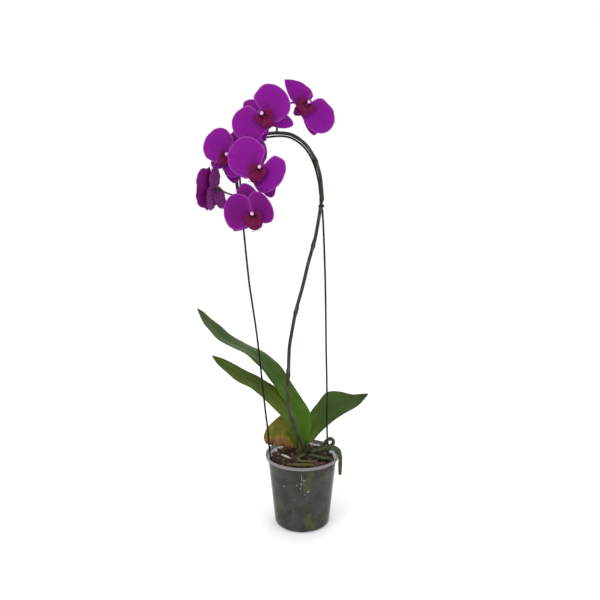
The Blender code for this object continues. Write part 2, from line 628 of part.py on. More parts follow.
def make_column(flower, parts, finish):
    """Stalk, ovary and column as one stem that runs from the spike through the flower's heart."""
    _, _, front = flower.axes()
    heart, size = Vector(place(*flower.heart)), flower.size
    back = heart - front * 0.010 * size
    route = [place(*p) for p in flower.stalk] + [back, heart - front * 0.004 * size]
    points = [Vector(p) for p in smooth_route(route, 0.007)]
    radii = list(np.linspace(STALK_RADIUS, COLUMN_RADIUS * 0.8 * size, len(points)))
    for forward, share in ((0.0, 1.0), (0.45, 1.0), (0.9, 0.85), (1.0, 0.5)):
        points.append(heart + front * COLUMN_LENGTH * forward * size)
        radii.append(COLUMN_RADIUS * share * size)
    tube(f"{flower.name}_column", points, radii, finish, parts)


def make_flowers(parts):
    """All six flowers, each with five tepals, a lip and a column."""
    purple = material("petal", (0.24, 0.01, 0.28), 0.55)
    crimson = material("lip", (0.16, 0.01, 0.07), 0.5)
    blush = material("column", (0.5, 0.2, 0.45), 0.5)
    for flower in FLOWERS:
        for kind, tepal in tepal_kinds().items():
            make_tepal(flower, kind, tepal, parts, purple)
        make_lip(flower, parts, crimson)
        make_column(flower, parts, blush)


def main():
    """Build every piece."""
    for old in list(bpy.data.objects):
        bpy.data.objects.remove(old)
    parts = bpy.data.collections.new("potted_orchid")
    cutters = bpy.data.collections.new("cutters")
    for folder in (parts, cutters):
        bpy.context.scene.collection.children.link(folder)
    make_pot(parts, cutters)
    wire = make_supports(parts)
    crown, crown_radius = make_crown(parts)
    under = POT_HEIGHT - BARK_DEPTH + 2 * BARK_BUMP
    half = len(wire) // 2
    buried = [("left_leg", [p for p in wire[:half] if p[2] < under + 0.02], WIRE_RADIUS + POCKET_GAP),
              ("right_leg", [p for p in wire[half:] if p[2] < under + 0.02], WIRE_RADIUS + POCKET_GAP),
              ("crown", list(crown), crown_radius + POCKET_GAP)]
    make_bark(parts, cutters, buried)
    for leaf in LEAVES:
        make_leaf(leaf, parts)
    make_roots(parts)
    make_flowers(parts)
    for cutter in cutters.objects:
        cutter.hide_render = True
        cutter.display_type = "WIRE"


main()
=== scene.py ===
"""Looks of a potted moth orchid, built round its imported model.

Every piece is a surface worked out with numpy, in metres with +Z up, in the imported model's frame: the
origin is the centre of the pot's underside and -Y is the front. Plant points are written (x, y, h): an
h of zero or more is a height over the pot's rim, and an h below zero is a depth under the plant's top.
"""
from __future__ import annotations

import logging
import math
from dataclasses import dataclass, field
from enum import Enum
from typing import Any, Callable, Iterable, Sequence

import bmesh
import bpy
import numpy as np
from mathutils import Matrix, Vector


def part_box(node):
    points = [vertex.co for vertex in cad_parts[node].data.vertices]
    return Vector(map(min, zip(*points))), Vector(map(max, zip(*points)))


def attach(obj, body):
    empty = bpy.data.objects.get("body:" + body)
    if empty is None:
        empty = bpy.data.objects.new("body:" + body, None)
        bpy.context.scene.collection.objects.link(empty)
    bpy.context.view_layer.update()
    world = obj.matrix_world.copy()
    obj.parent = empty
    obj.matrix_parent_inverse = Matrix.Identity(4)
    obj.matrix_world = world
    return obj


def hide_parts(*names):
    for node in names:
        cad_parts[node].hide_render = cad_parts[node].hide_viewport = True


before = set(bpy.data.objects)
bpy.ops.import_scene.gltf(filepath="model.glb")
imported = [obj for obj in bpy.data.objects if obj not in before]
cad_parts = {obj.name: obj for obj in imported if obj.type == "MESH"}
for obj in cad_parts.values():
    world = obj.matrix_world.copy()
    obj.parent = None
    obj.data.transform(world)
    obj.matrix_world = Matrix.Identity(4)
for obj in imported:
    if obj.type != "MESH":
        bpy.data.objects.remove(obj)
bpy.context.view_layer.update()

LOG = logging.getLogger("potted_orchid")
Array = np.ndarray
Colour = tuple[float, float, float]
Point = tuple[float, float, float]

BODY = "root"
FULL_TURN = 2 * math.pi
PLANT_TOP = 0.7015                      # the plant's nominal height, pot included
POT_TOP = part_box("pot")[1].z
RIM_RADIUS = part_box("pot")[1].x
BARK_DEPTH = 0.0065                     # how far the bark's surface lies under the rim
LEG_IN_BARK = 0.0835                    # how much of each leg of the hoop stands in the bark
BARK_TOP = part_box("support_hoop")[0].z + LEG_IN_BARK
LEG_FREE = 0.0035                       # radius kept free of chips round a leg
CROWN_FREE = 0.0095                     # the same round the crown
CLEARANCE = 0.0004


# ---------------------------------------------------------------- curves and fields

def place(points: Sequence[Point] | Array) -> Array:
    """World points of plant points.

    Args:
        points: Plant points, one to a row.

    Returns:
        The same rows with h turned into a height above the table.
    """
    made = np.array(points, float)
    made[..., 2] += np.where(made[..., 2] >= 0, POT_TOP, PLANT_TOP)
    return made


def unit(vectors: Array) -> Array:
    """Vectors scaled to length one."""
    return vectors / np.maximum(np.linalg.norm(vectors, axis=-1, keepdims=True), 1e-12)


def smooth_step(x: Array | float, low: float, high: float) -> Array:
    """0 below low, 1 above high and 3t^2 - 2t^3 between them."""
    t = np.clip((np.asarray(x, float) - low) / (high - low), 0, 1)
    return t * t * (3 - 2 * t)


def bell(x: Array | float, middle: float, width: float) -> Array:
    """A bump of height one: e to the minus squared distance from the middle, in widths."""
    return np.exp(-((np.asarray(x, float) - middle) / width) ** 2)


def sampled(points: Array, share: Array | float) -> Array:
    """Points of the Catmull-Rom curve through `points`.

    Args:
        points: The points that the curve passes, one to a row.
        share: Shares of the way along, from 0 to 1, of any shape.

    Returns:
        One point for each share.
    """
    p = np.vstack([2 * points[0] - points[1], points, 2 * points[-1] - points[-2]])
    span = len(p) - 3
    where = np.clip(np.asarray(share, float) * span, 0, span - 1e-9)
    i = where.astype(int)
    t = (where - i)[..., None]
    a, b, c, d = p[i], p[i + 1], p[i + 2], p[i + 3]
    return 0.5 * (2 * b + (c - a) * t + (2 * a - 5 * b + 4 * c - d) * t ** 2
                  + (3 * b - a - 3 * c + d) * t ** 3)


def ripple(points: Array, pitch: float, seed: int, waves: int = 7) -> Array:
    """Smooth uneven field, about -1 to 1: a sum of sine waves in seeded directions.

    Args:
        points: Where to read the field.
        pitch: Usual distance from crest to crest.
        seed: Picks the directions and phases.
        waves: How many waves are summed.

    Returns:
        The field's value at each point.
    """
    dice = np.random.default_rng(seed)
    heading = unit(dice.normal(size=(waves, 3))) * dice.uniform(0.6, 1.6, (waves, 1))
    phase = dice.uniform(0, FULL_TURN, waves)
    return np.sin(points @ heading.T * FULL_TURN / pitch + phase).sum(-1) / math.sqrt(waves)


class Rail:
    """A smooth centre line that carries a side and a lift direction along it."""

    def __init__(self, points: Array, step: float = 0.001) -> None:
        """Resample the curve through the points and work out its directions.

        The side is square to the line and to the direction in which the line bends least.

        Args:
            points: Points that the line passes, in world metres.
            step: Distance between the stations.
        """
        fine = sampled(np.asarray(points, float), np.linspace(0, 1, 60 * len(points)))
        run = np.concatenate([[0], np.cumsum(np.linalg.norm(np.diff(fine, axis=0), axis=1))])
        self.length = float(run[-1])
        self.run = np.linspace(0, self.length, max(8, round(self.length / step) + 1))
        self.points = np.stack([np.interp(self.run, run, fine[:, k]) for k in range(3)], axis=1)
        self.ahead = unit(np.gradient(self.points, axis=0))
        flat = np.linalg.svd(self.ahead, full_matrices=False)[2][-1]
        self.side = unit(np.cross(self.ahead, flat))
        self.lift = np.cross(self.side, self.ahead)

    def read(self, rows: Array, run: Array) -> Array:
        """Values of one of the rail's rows at some runs."""
        return np.stack([np.interp(run, self.run, rows[:, k]) for k in range(3)], axis=-1)

    def around(self, run: Array, angle: Array, radius: Array) -> Array:
        """Points beside the line: its point at a run, plus radius (side cos angle + lift sin angle).

        Args:
            run: Distances along the line.
            angle: Angles about it, in radians.
            radius: Distances from it.

        Returns:
            World points of the shape that the three make together.
        """
        run, angle, radius = np.broadcast_arrays(run, angle, radius)
        out = (self.read(self.side, run) * np.cos(angle)[..., None]
               + self.read(self.lift, run) * np.sin(angle)[..., None])
        return self.read(self.points, run) + out * radius[..., None]

    def nearest(self, where: Array) -> int:
        """Index of the station that is nearest to a point."""
        return int(np.argmin(np.linalg.norm(self.points - where, axis=1)))


# ---------------------------------------------------------------- meshes

def lattice(rows: int, columns: int) -> tuple[Array, Array]:
    """Grid of a (down the rows) and b (along the columns), both from -1 to 1."""
    return np.meshgrid(np.linspace(-1, 1, rows), np.linspace(-1, 1, columns), indexing="ij")


def turned(profile: Array, angle: Array) -> Array:
    """A section turned about Z.

    Args:
        profile: Radius and height of each point of the section, one to a row.
        angle: Angles in radians, one to a row.

    Returns:
        A grid of points with a row for each angle.
    """
    return np.stack([profile[:, 0] * np.cos(angle), profile[:, 0] * np.sin(angle),
                     profile[:, 1] + 0 * angle], -1)


def disc_lattice(size: int) -> tuple[Array, Array]:
    """Square grid carried onto the unit disc: x = a sqrt(1 - b^2/2), y = b sqrt(1 - a^2/2)."""
    a, b = lattice(size, size)
    return a * np.sqrt(1 - b * b / 2), b * np.sqrt(1 - a * a / 2)


def pebble_lattice(cuts: int) -> tuple[Array, Array]:
    """A cube from -1 to 1 with each face cut into cuts by cuts squares.

    Args:
        cuts: Squares along an edge.

    Returns:
        Its corner points, and the quads between them.
    """
    line = np.linspace(-1, 1, cuts + 1)
    u, v = (w.ravel() for w in np.meshgrid(line, line, indexing="ij"))
    sides = [np.roll(np.stack([np.full_like(u, s), u * s, v], -1), k, axis=1)
             for k in range(3) for s in (-1, 1)]
    cell = np.arange((cuts + 1) ** 2).reshape(cuts + 1, cuts + 1)
    quads = np.stack([cell[:-1, :-1], cell[1:, :-1], cell[1:, 1:], cell[:-1, 1:]], -1).reshape(-1, 4)
    faces = np.concatenate([quads + k * (cuts + 1) ** 2 for k in range(6)])
    corners, welded = np.unique(np.round(np.concatenate(sides), 6), axis=0, return_inverse=True)
    return corners, welded.reshape(-1)[faces]


def ball_lattice(cuts: int) -> tuple[Array, Array]:
    """The cut cube carried onto the unit ball: its points, and the quads between them."""
    cube, quads = pebble_lattice(cuts)
    return unit(cube), quads


class Patchwork:
    """Grids and facets gathered into one mesh, which is welded where their edges meet."""

    WELD = 2e-6

    def __init__(self, name: str) -> None:
        """Start an empty mesh with the name of its piece."""
        self.name = name
        self.points: list[Array] = []
        self.marks: list[Array] = []
        self.tones: list[Array] = []
        self.quads: list[Array] = []
        self.count = 0

    def facets(self, points: Array, quads: Array, marks: Array, tone: Array | float) -> None:
        """Add loose quads.

        Args:
            points: Corner points, one to a row.
            quads: Four corner numbers to a row.
            marks: Two surface coordinates for each point.
            tone: A shade for each point, or one for all.
        """
        self.points.append(points.reshape(-1, 3))
        self.marks.append(marks.reshape(-1, 2))
        self.tones.append(np.broadcast_to(tone, points.shape[:-1]).reshape(-1))
        self.quads.append(quads + self.count)
        self.count += self.points[-1].shape[0]

    def grid(self, points: Array, u: Array, v: Array, tone: Array | float = 0.0) -> None:
        """Add a grid of points, with a quad between each four neighbours.

        Args:
            points: Rows by columns of points.
            u: First surface coordinate, of any shape that spreads over the grid.
            v: Second surface coordinate.
            tone: A shade, of any shape that spreads over the grid.
        """
        rows, columns = points.shape[:2]
        cell = np.arange(rows * columns).reshape(rows, columns)
        quads = np.stack([cell[:-1, :-1], cell[1:, :-1], cell[1:, 1:], cell[:-1, 1:]], -1)
        shape = (rows, columns)
        marks = np.stack([np.broadcast_to(u, shape), np.broadcast_to(v, shape)], -1)
        self.facets(points, quads.reshape(-1, 4), marks, np.broadcast_to(tone, shape))

    def sheet(self, points: Array, half: Array, u: Array, v: Array, tone: Array | float = 0.0) -> None:
        """Add both faces of a thin sheet: its middle surface, moved half a thickness each way along
        the normal. The half thickness is zero on the rim, where the two faces meet.

        Args:
            points: Rows by columns of points on the middle surface.
            half: Half the thickness at each point.
            u: First surface coordinate.
            v: Second surface coordinate.
            tone: A shade for each point.
        """
        normal = unit(np.cross(np.gradient(points, axis=0), np.gradient(points, axis=1)))
        lift = normal * half[..., None]
        for side in (1, -1):
            self.grid((points + side * lift)[:, ::side], np.broadcast_to(u, half.shape)[:, ::side],
                      np.broadcast_to(v, half.shape)[:, ::side],
                      np.broadcast_to(tone, half.shape)[:, ::side])

    def tube(self, rail: Rail, radius: Callable[[Array], Array], sides: int = 20,
             step: float = 0.002, span: tuple[float, float] | None = None,
             tone: float = 0.0) -> None:
        """Add a round bar along a rail, with ends that close in a dome.

        Near an end the radius is r sqrt(1 - (1 - d/r)^2), where d is the distance from that end.

        Args:
            rail: Centre line.
            radius: Radius at each run along it; it may return one for each run and angle.
            sides: Facets round the bar.
            step: Distance between rings.
            span: First and last run, or None for the whole rail.
            tone: A shade for the whole bar.
        """
        start, end = span or (0.0, rail.length)
        ends = float(np.mean(radius(np.array([[start], [end]]))))
        dome = ends * (1 - np.cos(np.linspace(0, math.pi / 2, 6)))
        body = np.linspace(start + ends, end - ends, max(3, round((end - start) / step)))
        run = np.concatenate([start + dome, body[1:-1], end - dome[::-1]])[:, None]
        edge = np.minimum(run - start, end - run)
        near = 1 - np.minimum(edge / ends, 1)
        angle = np.linspace(0, FULL_TURN, sides + 1)[None, :]
        girth = radius(run + 0 * angle) * np.sqrt(np.clip(1 - near ** 2, 0, 1))
        self.grid(rail.around(run, angle, girth), angle / FULL_TURN, run / rail.length, tone)

    def mesh(self, flat: bool = False) -> bpy.types.Mesh:
        """Weld the patches and turn their faces outwards.

        Args:
            flat: Whether each facet keeps its own shading.

        Returns:
            The mesh, with its surface coordinates as UVMap and its shades as tone.
        """
        points, quads = np.concatenate(self.points), np.concatenate(self.quads)
        made = bpy.data.meshes.new(self.name)
        made.vertices.add(len(points))
        made.vertices.foreach_set("co", points.astype(np.float32).ravel())
        made.loops.add(quads.size)
        made.loops.foreach_set("vertex_index", quads.astype(np.int32).ravel())
        made.polygons.add(len(quads))
        made.polygons.foreach_set("loop_start", np.arange(0, quads.size, 4, dtype=np.int32))
        made.update(calc_edges=True)
        made.uv_layers.new(name="UVMap").data.foreach_set(
            "uv", np.concatenate(self.marks)[quads.ravel()].astype(np.float32).ravel())
        made.attributes.new("tone", "FLOAT", "POINT").data.foreach_set(
            "value", np.concatenate(self.tones).astype(np.float32))
        body = bmesh.new()
        body.from_mesh(made)
        bmesh.ops.remove_doubles(body, verts=body.verts, dist=self.WELD)
        bmesh.ops.recalc_face_normals(body, faces=body.faces)
        body.to_mesh(made)
        body.free()
        made.polygons.foreach_set("use_smooth", [not flat] * len(made.polygons))
        return made


def show(patch: Patchwork, finish: "Finish", *stands_for: str, flat: bool = False) -> bpy.types.Object:
    """Make a piece of the plant: dress its mesh, and let it ride on the one body.

    Args:
        patch: The piece's mesh in the making.
        finish: What it is made of.
        stands_for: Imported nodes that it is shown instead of.
        flat: Whether each facet keeps its own shading.

    Returns:
        The object, at the origin with its place in its mesh.
    """
    piece = bpy.data.objects.new(patch.name, patch.mesh(flat))
    bpy.context.scene.collection.objects.link(piece)
    piece.data.materials.append(finish.material())
    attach(piece, BODY)
    if stands_for:
        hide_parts(*stands_for)
    LOG.info("%s: %d faces", piece.name, len(piece.data.polygons))
    return piece


# ---------------------------------------------------------------- materials

class Reading:
    """A number that varies over a surface: a node's output, with arithmetic on it."""

    def __init__(self, graph: "Graph", socket: bpy.types.NodeSocket) -> None:
        """Wrap an output socket of the graph."""
        self.graph = graph
        self.socket = socket

    def _math(self, operation: str, *values: Any) -> "Reading":
        """Add one Math node.

        Args:
            operation: What it does.
            values: Its inputs in order, numbers or readings.

        Returns:
            Its result.
        """
        made = self.graph.node("ShaderNodeMath", {"operation": operation}, dict(enumerate(values)))
        return Reading(self.graph, made.outputs[0])

    def __add__(self, other: "Reading | float") -> "Reading":
        """Sum."""
        return self._math("ADD", self, other)

    def __radd__(self, other: float) -> "Reading":
        """Sum with a number on the left."""
        return self._math("ADD", other, self)

    def __sub__(self, other: "Reading | float") -> "Reading":
        """Difference."""
        return self._math("SUBTRACT", self, other)

    def __mul__(self, other: "Reading | float") -> "Reading":
        """Product."""
        return self._math("MULTIPLY", self, other)

    def __truediv__(self, other: "Reading | float") -> "Reading":
        """Quotient."""
        return self._math("DIVIDE", self, other)

    def __pow__(self, other: float) -> "Reading":
        """Power."""
        return self._math("POWER", self, other)

    def __abs__(self) -> "Reading":
        """Size without its sign."""
        return self._math("ABSOLUTE", self)

    def wave(self) -> "Reading":
        """Sine of the value, brought to 0 to 1."""
        return self._math("SINE", self) * 0.5 + 0.5

    def between(self, low: float, high: float) -> "Reading":
        """0 at low, 1 at high and a smooth rise between them; low may be the larger."""
        settings = {"interpolation_type": "SMOOTHSTEP"}
        made = self.graph.node("ShaderNodeMapRange", settings, {0: self, 1: low, 2: high, 3: 0, 4: 1})
        return Reading(self.graph, made.outputs[0])


class Graph:
    """The node tree of one material, put together from expressions."""

    def __init__(self, name: str, plain: dict[str, Any]) -> None:
        """Start a material.

        Args:
            name: The material's name.
            plain: Values that hold all over the surface, by socket of the shader.
        """
        self.made = bpy.data.materials.new(name)
        self.made.use_nodes = True
        self.tree = self.made.node_tree
        self.shader = self.tree.nodes["Principled BSDF"]
        for socket, value in plain.items():
            self.shader.inputs[socket].default_value = value

    def node(self, kind: str, settings: dict[str, Any] | None = None,
             sockets: dict[str | int, Any] | None = None) -> bpy.types.Node:
        """Add a node.

        Args:
            kind: Its type.
            settings: Its own settings, set first; "stops" are a colour ramp's (place, colour) pairs.
            sockets: Values or links of its inputs, by name or number.

        Returns:
            The node.
        """
        made = self.tree.nodes.new(kind)
        for setting, value in (settings or {}).items():
            if setting == "stops":
                for _ in range(len(value) - 2):
                    made.color_ramp.elements.new(0.5)
                for element, (where, colour) in zip(made.color_ramp.elements, value):
                    element.position = where
                    element.color = (*colour, 1)
            else:
                setattr(made, setting, value)
        for socket, value in (sockets or {}).items():
            self.plug(made.inputs[socket], value)
        return made

    def plug(self, target: bpy.types.NodeSocket, value: Any) -> None:
        """Link a reading or a socket to an input, or set the input's value."""
        if isinstance(value, Reading):
            self.tree.links.new(value.socket, target)
        elif isinstance(value, bpy.types.NodeSocket):
            self.tree.links.new(value, target)
        elif isinstance(value, tuple) and len(value) == 3 and target.type == "RGBA":
            target.default_value = (*value, 1)
        else:
            target.default_value = value

    def set(self, socket: str, value: Any) -> None:
        """Feed one of the shader's own inputs."""
        self.plug(self.shader.inputs[socket], value)

    def place(self, stretch: Point = (1, 1, 1)) -> bpy.types.NodeSocket:
        """Object coordinates, in metres, stretched along each axis."""
        spot = self.node("ShaderNodeTexCoord").outputs["Object"]
        return self.scaled(spot, stretch)

    def marks(self, stretch: tuple[float, float] = (1, 1)) -> bpy.types.NodeSocket:
        """The piece's own surface coordinates, stretched."""
        spot = self.node("ShaderNodeUVMap", {"uv_map": "UVMap"}).outputs[0]
        return self.scaled(spot, (*stretch, 1))

    def scaled(self, spot: bpy.types.NodeSocket, stretch: Point) -> bpy.types.NodeSocket:
        """A place multiplied axis by axis."""
        if tuple(stretch) == (1, 1, 1):
            return spot
        return self.node("ShaderNodeVectorMath", {"operation": "MULTIPLY"},
                         {0: spot, 1: stretch}).outputs[0]

    def tone(self) -> Reading:
        """The shade that the piece's mesh carries."""
        return Reading(self, self.node("ShaderNodeAttribute", {"attribute_name": "tone"}).outputs["Fac"])

    def split(self, spot: bpy.types.NodeSocket) -> tuple[Reading, Reading, Reading]:
        """The three numbers of a place."""
        made = self.node("ShaderNodeSeparateXYZ", None, {0: spot})
        return tuple(Reading(self, out) for out in made.outputs)

    def noise(self, spot: bpy.types.NodeSocket, scale: float, detail: float = 3,
              rough: float = 0.5) -> Reading:
        """Cloudy noise from 0 to 1 at a place."""
        made = self.node("ShaderNodeTexNoise", None,
                         {"Vector": spot, "Scale": scale, "Detail": detail, "Roughness": rough})
        return Reading(self, made.outputs[0])

    def cells(self, spot: bpy.types.NodeSocket, scale: float) -> Reading:
        """Distance to the nearest of scattered points."""
        made = self.node("ShaderNodeTexVoronoi", None, {"Vector": spot, "Scale": scale})
        return Reading(self, made.outputs[0])

    def blend(self, factor: Reading, low: Any, high: Any) -> bpy.types.NodeSocket:
        """Colour that goes from low to high as the factor goes from 0 to 1."""
        made = self.node("ShaderNodeMix", {"data_type": "RGBA"}, {0: factor, 6: low, 7: high})
        return made.outputs[2]

    def ramp(self, factor: Reading, *stops: tuple[float, Colour]) -> bpy.types.NodeSocket:
        """Colour read from a ramp."""
        return self.node("ShaderNodeValToRGB", {"stops": stops}, {0: factor}).outputs[0]

    def bump(self, height: Reading, depth: float, strength: float = 1.0) -> None:
        """Raise the surface by a height of 0 to 1, times a depth in metres."""
        made = self.node("ShaderNodeBump", None,
                         {"Height": height, "Distance": depth, "Strength": strength})
        self.set("Normal", made.outputs[0])


@dataclass(frozen=True)
class Finish:
    """What a piece is made of. Each kind paints itself on the shader of its material."""

    name: str
    slot: str

    def plain(self) -> dict[str, Any]:
        """Values that hold all over the surface, by socket of the shader."""
        return {}

    def paint(self, graph: Graph) -> None:
        """Add what varies over the surface."""

    def material(self) -> bpy.types.Material:
        """The finish's material, made the first time it is asked for."""
        found = bpy.data.materials.get(self.name)
        if found:
            return found
        graph = Graph(self.name, self.plain())
        self.paint(graph)
        return graph.made


@dataclass(frozen=True)
class SmokedPlastic(Finish):
    """Thin smoke-grey plastic: see-through, scuffed, and stained green and brown by what it holds."""

    film: Colour = (0.062, 0.065, 0.062)
    rim: Colour = (0.200, 0.190, 0.190)
    moss: Colour = (0.105, 0.120, 0.045)
    stain: Colour = (0.045, 0.038, 0.030)
    veil: float = 0.42                 # opacity of one face of the wall

    FLANGE = (0.0046, 0.0040)          # in from the rim's edge: where its milkiness starts, and is full
    BAND = (0.0065, 0.0045)            # the same down from its top

    def plain(self) -> dict[str, Any]:
        """Glossy, with the shine of polypropylene."""
        return {"IOR": 1.49, "Specular IOR Level": 0.28}

    def paint(self, graph: Graph) -> None:
        """Clouds of stain and moss, fine scuffs, and a milkier rim."""
        spot = graph.place()
        x, y, height = graph.split(spot)
        flange = ((x * x + y * y) ** 0.5).between(*(RIM_RADIUS - far for far in self.FLANGE))
        rim = height.between(*(POT_TOP - far for far in self.BAND)) * flange
        cloud = graph.noise(spot, 42, 4, 0.6)
        moss = graph.noise(graph.place((1, 1, 0.55)), 60, 3, 0.55).between(0.52, 0.70)
        streak = graph.noise(graph.place((1, 1, 0.12)), 190, 2)
        scuff = graph.noise(graph.place((1, 1, 6)), 420, 2, 0.7).between(0.58, 0.75)
        film = graph.blend(cloud.between(0.42, 0.62), self.film, self.stain)
        film = graph.blend(moss * 0.75, film, self.moss)
        graph.set("Base Color", graph.blend(rim, film, self.rim))
        graph.set("Alpha", self.veil + cloud * 0.14 + scuff * 0.04 + streak * 0.05 + rim * 0.42)
        graph.set("Roughness", 0.24 + streak * 0.14 + scuff * 0.2)
        graph.bump(streak * 0.7 + scuff * 0.15, 0.00010, 0.4)


@dataclass(frozen=True)
class ClearDrop(Finish):
    """A bead of water. Its pale grey colour is a painted highlight, so it shows bright all over."""

    # pale grey on clear water: a painted highlight
    body: Colour = (0.62, 0.64, 0.64)

    def plain(self) -> dict[str, Any]:
        """Very smooth and partly see-through."""
        return {"Base Color": (*self.body, 1), "Roughness": 0.06, "IOR": 1.33, "Alpha": 0.62}


@dataclass(frozen=True)
class BarkFinish(Finish):
    """Pine bark: red-brown chips with darker corky layers and a pale broken edge here and there."""

    dark: Colour = (0.018, 0.011, 0.008)
    middle: Colour = (0.062, 0.035, 0.024)
    light: Colour = (0.185, 0.120, 0.088)

    def plain(self) -> dict[str, Any]:
        """Dull."""
        return {"Roughness": 0.88, "Specular IOR Level": 0.15}

    def paint(self, graph: Graph) -> None:
        """Layers along each chip, and each chip in a shade of its own."""
        spot = graph.place()
        layers = graph.noise(graph.place((1, 1, 3.2)), 330, 4, 0.65)
        cork = graph.noise(spot, 900, 3, 0.6)
        shade = graph.tone() * 0.62 + layers * 0.42 + cork * 0.16 - 0.12
        graph.set("Base Color", graph.ramp(shade, (0.10, self.dark), (0.50, self.middle),
                                           (0.95, self.light)))
        graph.bump(layers * 0.6 + cork * 0.4, 0.0009)


@dataclass(frozen=True)
class CoatedWire(Finish):
    """Steel wire in a dark green plastic coat."""

    coat: Colour = (0.004, 0.008, 0.006)
    worn: Colour = (0.016, 0.023, 0.019)

    def plain(self) -> dict[str, Any]:
        """A weak shine."""
        return {"Specular IOR Level": 0.12}

    def paint(self, graph: Graph) -> None:
        """Slightly uneven coat with duller, lighter stretches."""
        wear = graph.noise(graph.place((1, 1, 0.4)), 260, 3).between(0.50, 0.72)
        graph.set("Base Color", graph.blend(wear, self.coat, self.worn))
        graph.set("Roughness", 0.30 + wear * 0.22)
        graph.bump(graph.noise(graph.place(), 1500, 2), 0.00006, 0.6)


@dataclass(frozen=True)
class SoftTie(Finish):
    """Soft dark plastic tie."""

    body: Colour = (0.010, 0.013, 0.010)

    def plain(self) -> dict[str, Any]:
        """A weak shine."""
        return {"Specular IOR Level": 0.12}

    def paint(self, graph: Graph) -> None:
        """Matt, with a fine moulded grain."""
        grain = graph.noise(graph.place(), 1800, 2)
        graph.set("Base Color", graph.blend(grain, self.body, tuple(2.1 * c for c in self.body)))
        graph.set("Roughness", 0.55 + grain * 0.2)
        graph.bump(grain, 0.00008)


@dataclass(frozen=True)
class StemSkin(Finish):
    """Skin of a stem, a stalk or a scale: streaked along, freckled, darker where it is old."""

    old: Colour = (0.016, 0.013, 0.010)
    young: Colour = (0.045, 0.042, 0.030)
    bloom: Colour = (0.080, 0.070, 0.058)

    def plain(self) -> dict[str, Any]:
        """Nearly dull."""
        return {"Specular IOR Level": 0.16}

    def paint(self, graph: Graph) -> None:
        """Streaks along the stem, with a dusty bloom in patches."""
        streak = graph.noise(graph.marks((22, 30)), 1.0, 3)
        cloud = graph.noise(graph.place((1, 1, 0.4)), 90, 3)
        freckle = graph.noise(graph.place(), 1400, 2).between(0.60, 0.72)
        skin = graph.blend(streak.between(0.35, 0.65), self.old, self.young)
        skin = graph.blend(cloud.between(0.48, 0.70), skin, self.bloom)
        graph.set("Base Color", graph.blend(freckle * 0.5, skin, self.old))
        graph.set("Roughness", 0.42 + cloud * 0.2)
        graph.bump(streak * 0.7 + freckle * 0.3, 0.00018)


@dataclass(frozen=True)
class LeafSkin(Finish):
    """Thick satin leaf: its own green from foot to tip, faint veins along it, and a darker band along the
    midrib that is painted shade in its crease.
    """

    foot: Colour = (0.056, 0.132, 0.003)
    middle: Colour = (0.034, 0.082, 0.003)
    tip: Colour = (0.050, 0.073, 0.025)
    # darkens the veins, and paints shade in the midrib crease
    vein_and_crease_shade: Colour = (0.013, 0.040, 0.004)

    def plain(self) -> dict[str, Any]:
        """A weak waxy shine."""
        return {"Coat Weight": 0.02, "Coat Roughness": 0.30, "Specular IOR Level": 0.12}

    def paint(self, graph: Graph) -> None:
        """Colour along the blade, veins beside the midrib, clouds and pores."""
        across, along, _ = graph.split(graph.marks())
        off = abs(across * 2 - 1)
        cloud = graph.noise(graph.place(), 38, 4, 0.55)
        veins = (across * 120 + cloud * 6).wave() ** 3
        pores = graph.noise(graph.place(), 2200, 1)
        skin = graph.ramp(along + (cloud - 0.5) * 0.25, (0.06, self.foot), (0.42, self.middle),
                          (0.92, self.tip))
        skin = graph.blend(cloud.between(0.40, 0.70) * 0.35, skin, tuple(0.55 * c for c in self.middle))
        skin = graph.blend(veins * 0.12, skin, self.vein_and_crease_shade)
        # painted shade: a darker band along the midrib crease
        skin = graph.blend(off.between(0.055, 0.0) * 0.75, skin, self.vein_and_crease_shade)
        edge = tuple(1.5 * c for c in self.foot)
        graph.set("Base Color", graph.blend(off.between(0.94, 1.0) * 0.6, skin, edge))
        graph.set("Roughness", 0.34 + cloud * 0.16)
        graph.bump(veins * 0.45 + pores * 0.15 + cloud * 0.4, 0.0004, 0.8)


@dataclass(frozen=True)
class OldLeafSkin(Finish):
    """A leaf that is dying off: olive-yellow, with an orange-brown, wrinkled lower edge."""

    olive: Colour = (0.100, 0.100, 0.006)
    yellow: Colour = (0.215, 0.170, 0.012)
    brown: Colour = (0.200, 0.098, 0.034)
    dark: Colour = (0.035, 0.022, 0.008)

    def plain(self) -> dict[str, Any]:
        """Nearly dull."""
        return {"Specular IOR Level": 0.2}

    def paint(self, graph: Graph) -> None:
        """Yellowing in patches, browning towards the lower edge, with fine wrinkles."""
        across, along, _ = graph.split(graph.marks())
        cloud = graph.noise(graph.place(), 75, 4, 0.6)
        wrinkle = graph.noise(graph.marks((3, 22)), 3, 4, 0.6)
        skin = graph.blend(cloud.between(0.38, 0.66), self.olive, self.yellow)
        dying = (across * -1 + 1 + (cloud - 0.5) * 0.7).between(0.62, 0.92)
        skin = graph.blend(dying, skin, self.brown)
        rot = (wrinkle * 0.7 + dying * 0.35).between(0.62, 0.80)
        graph.set("Base Color", graph.blend(rot * 0.75, skin, self.dark))
        graph.set("Roughness", 0.45 + dying * 0.25)
        graph.bump(wrinkle * 0.8 + cloud * 0.2, 0.0011)


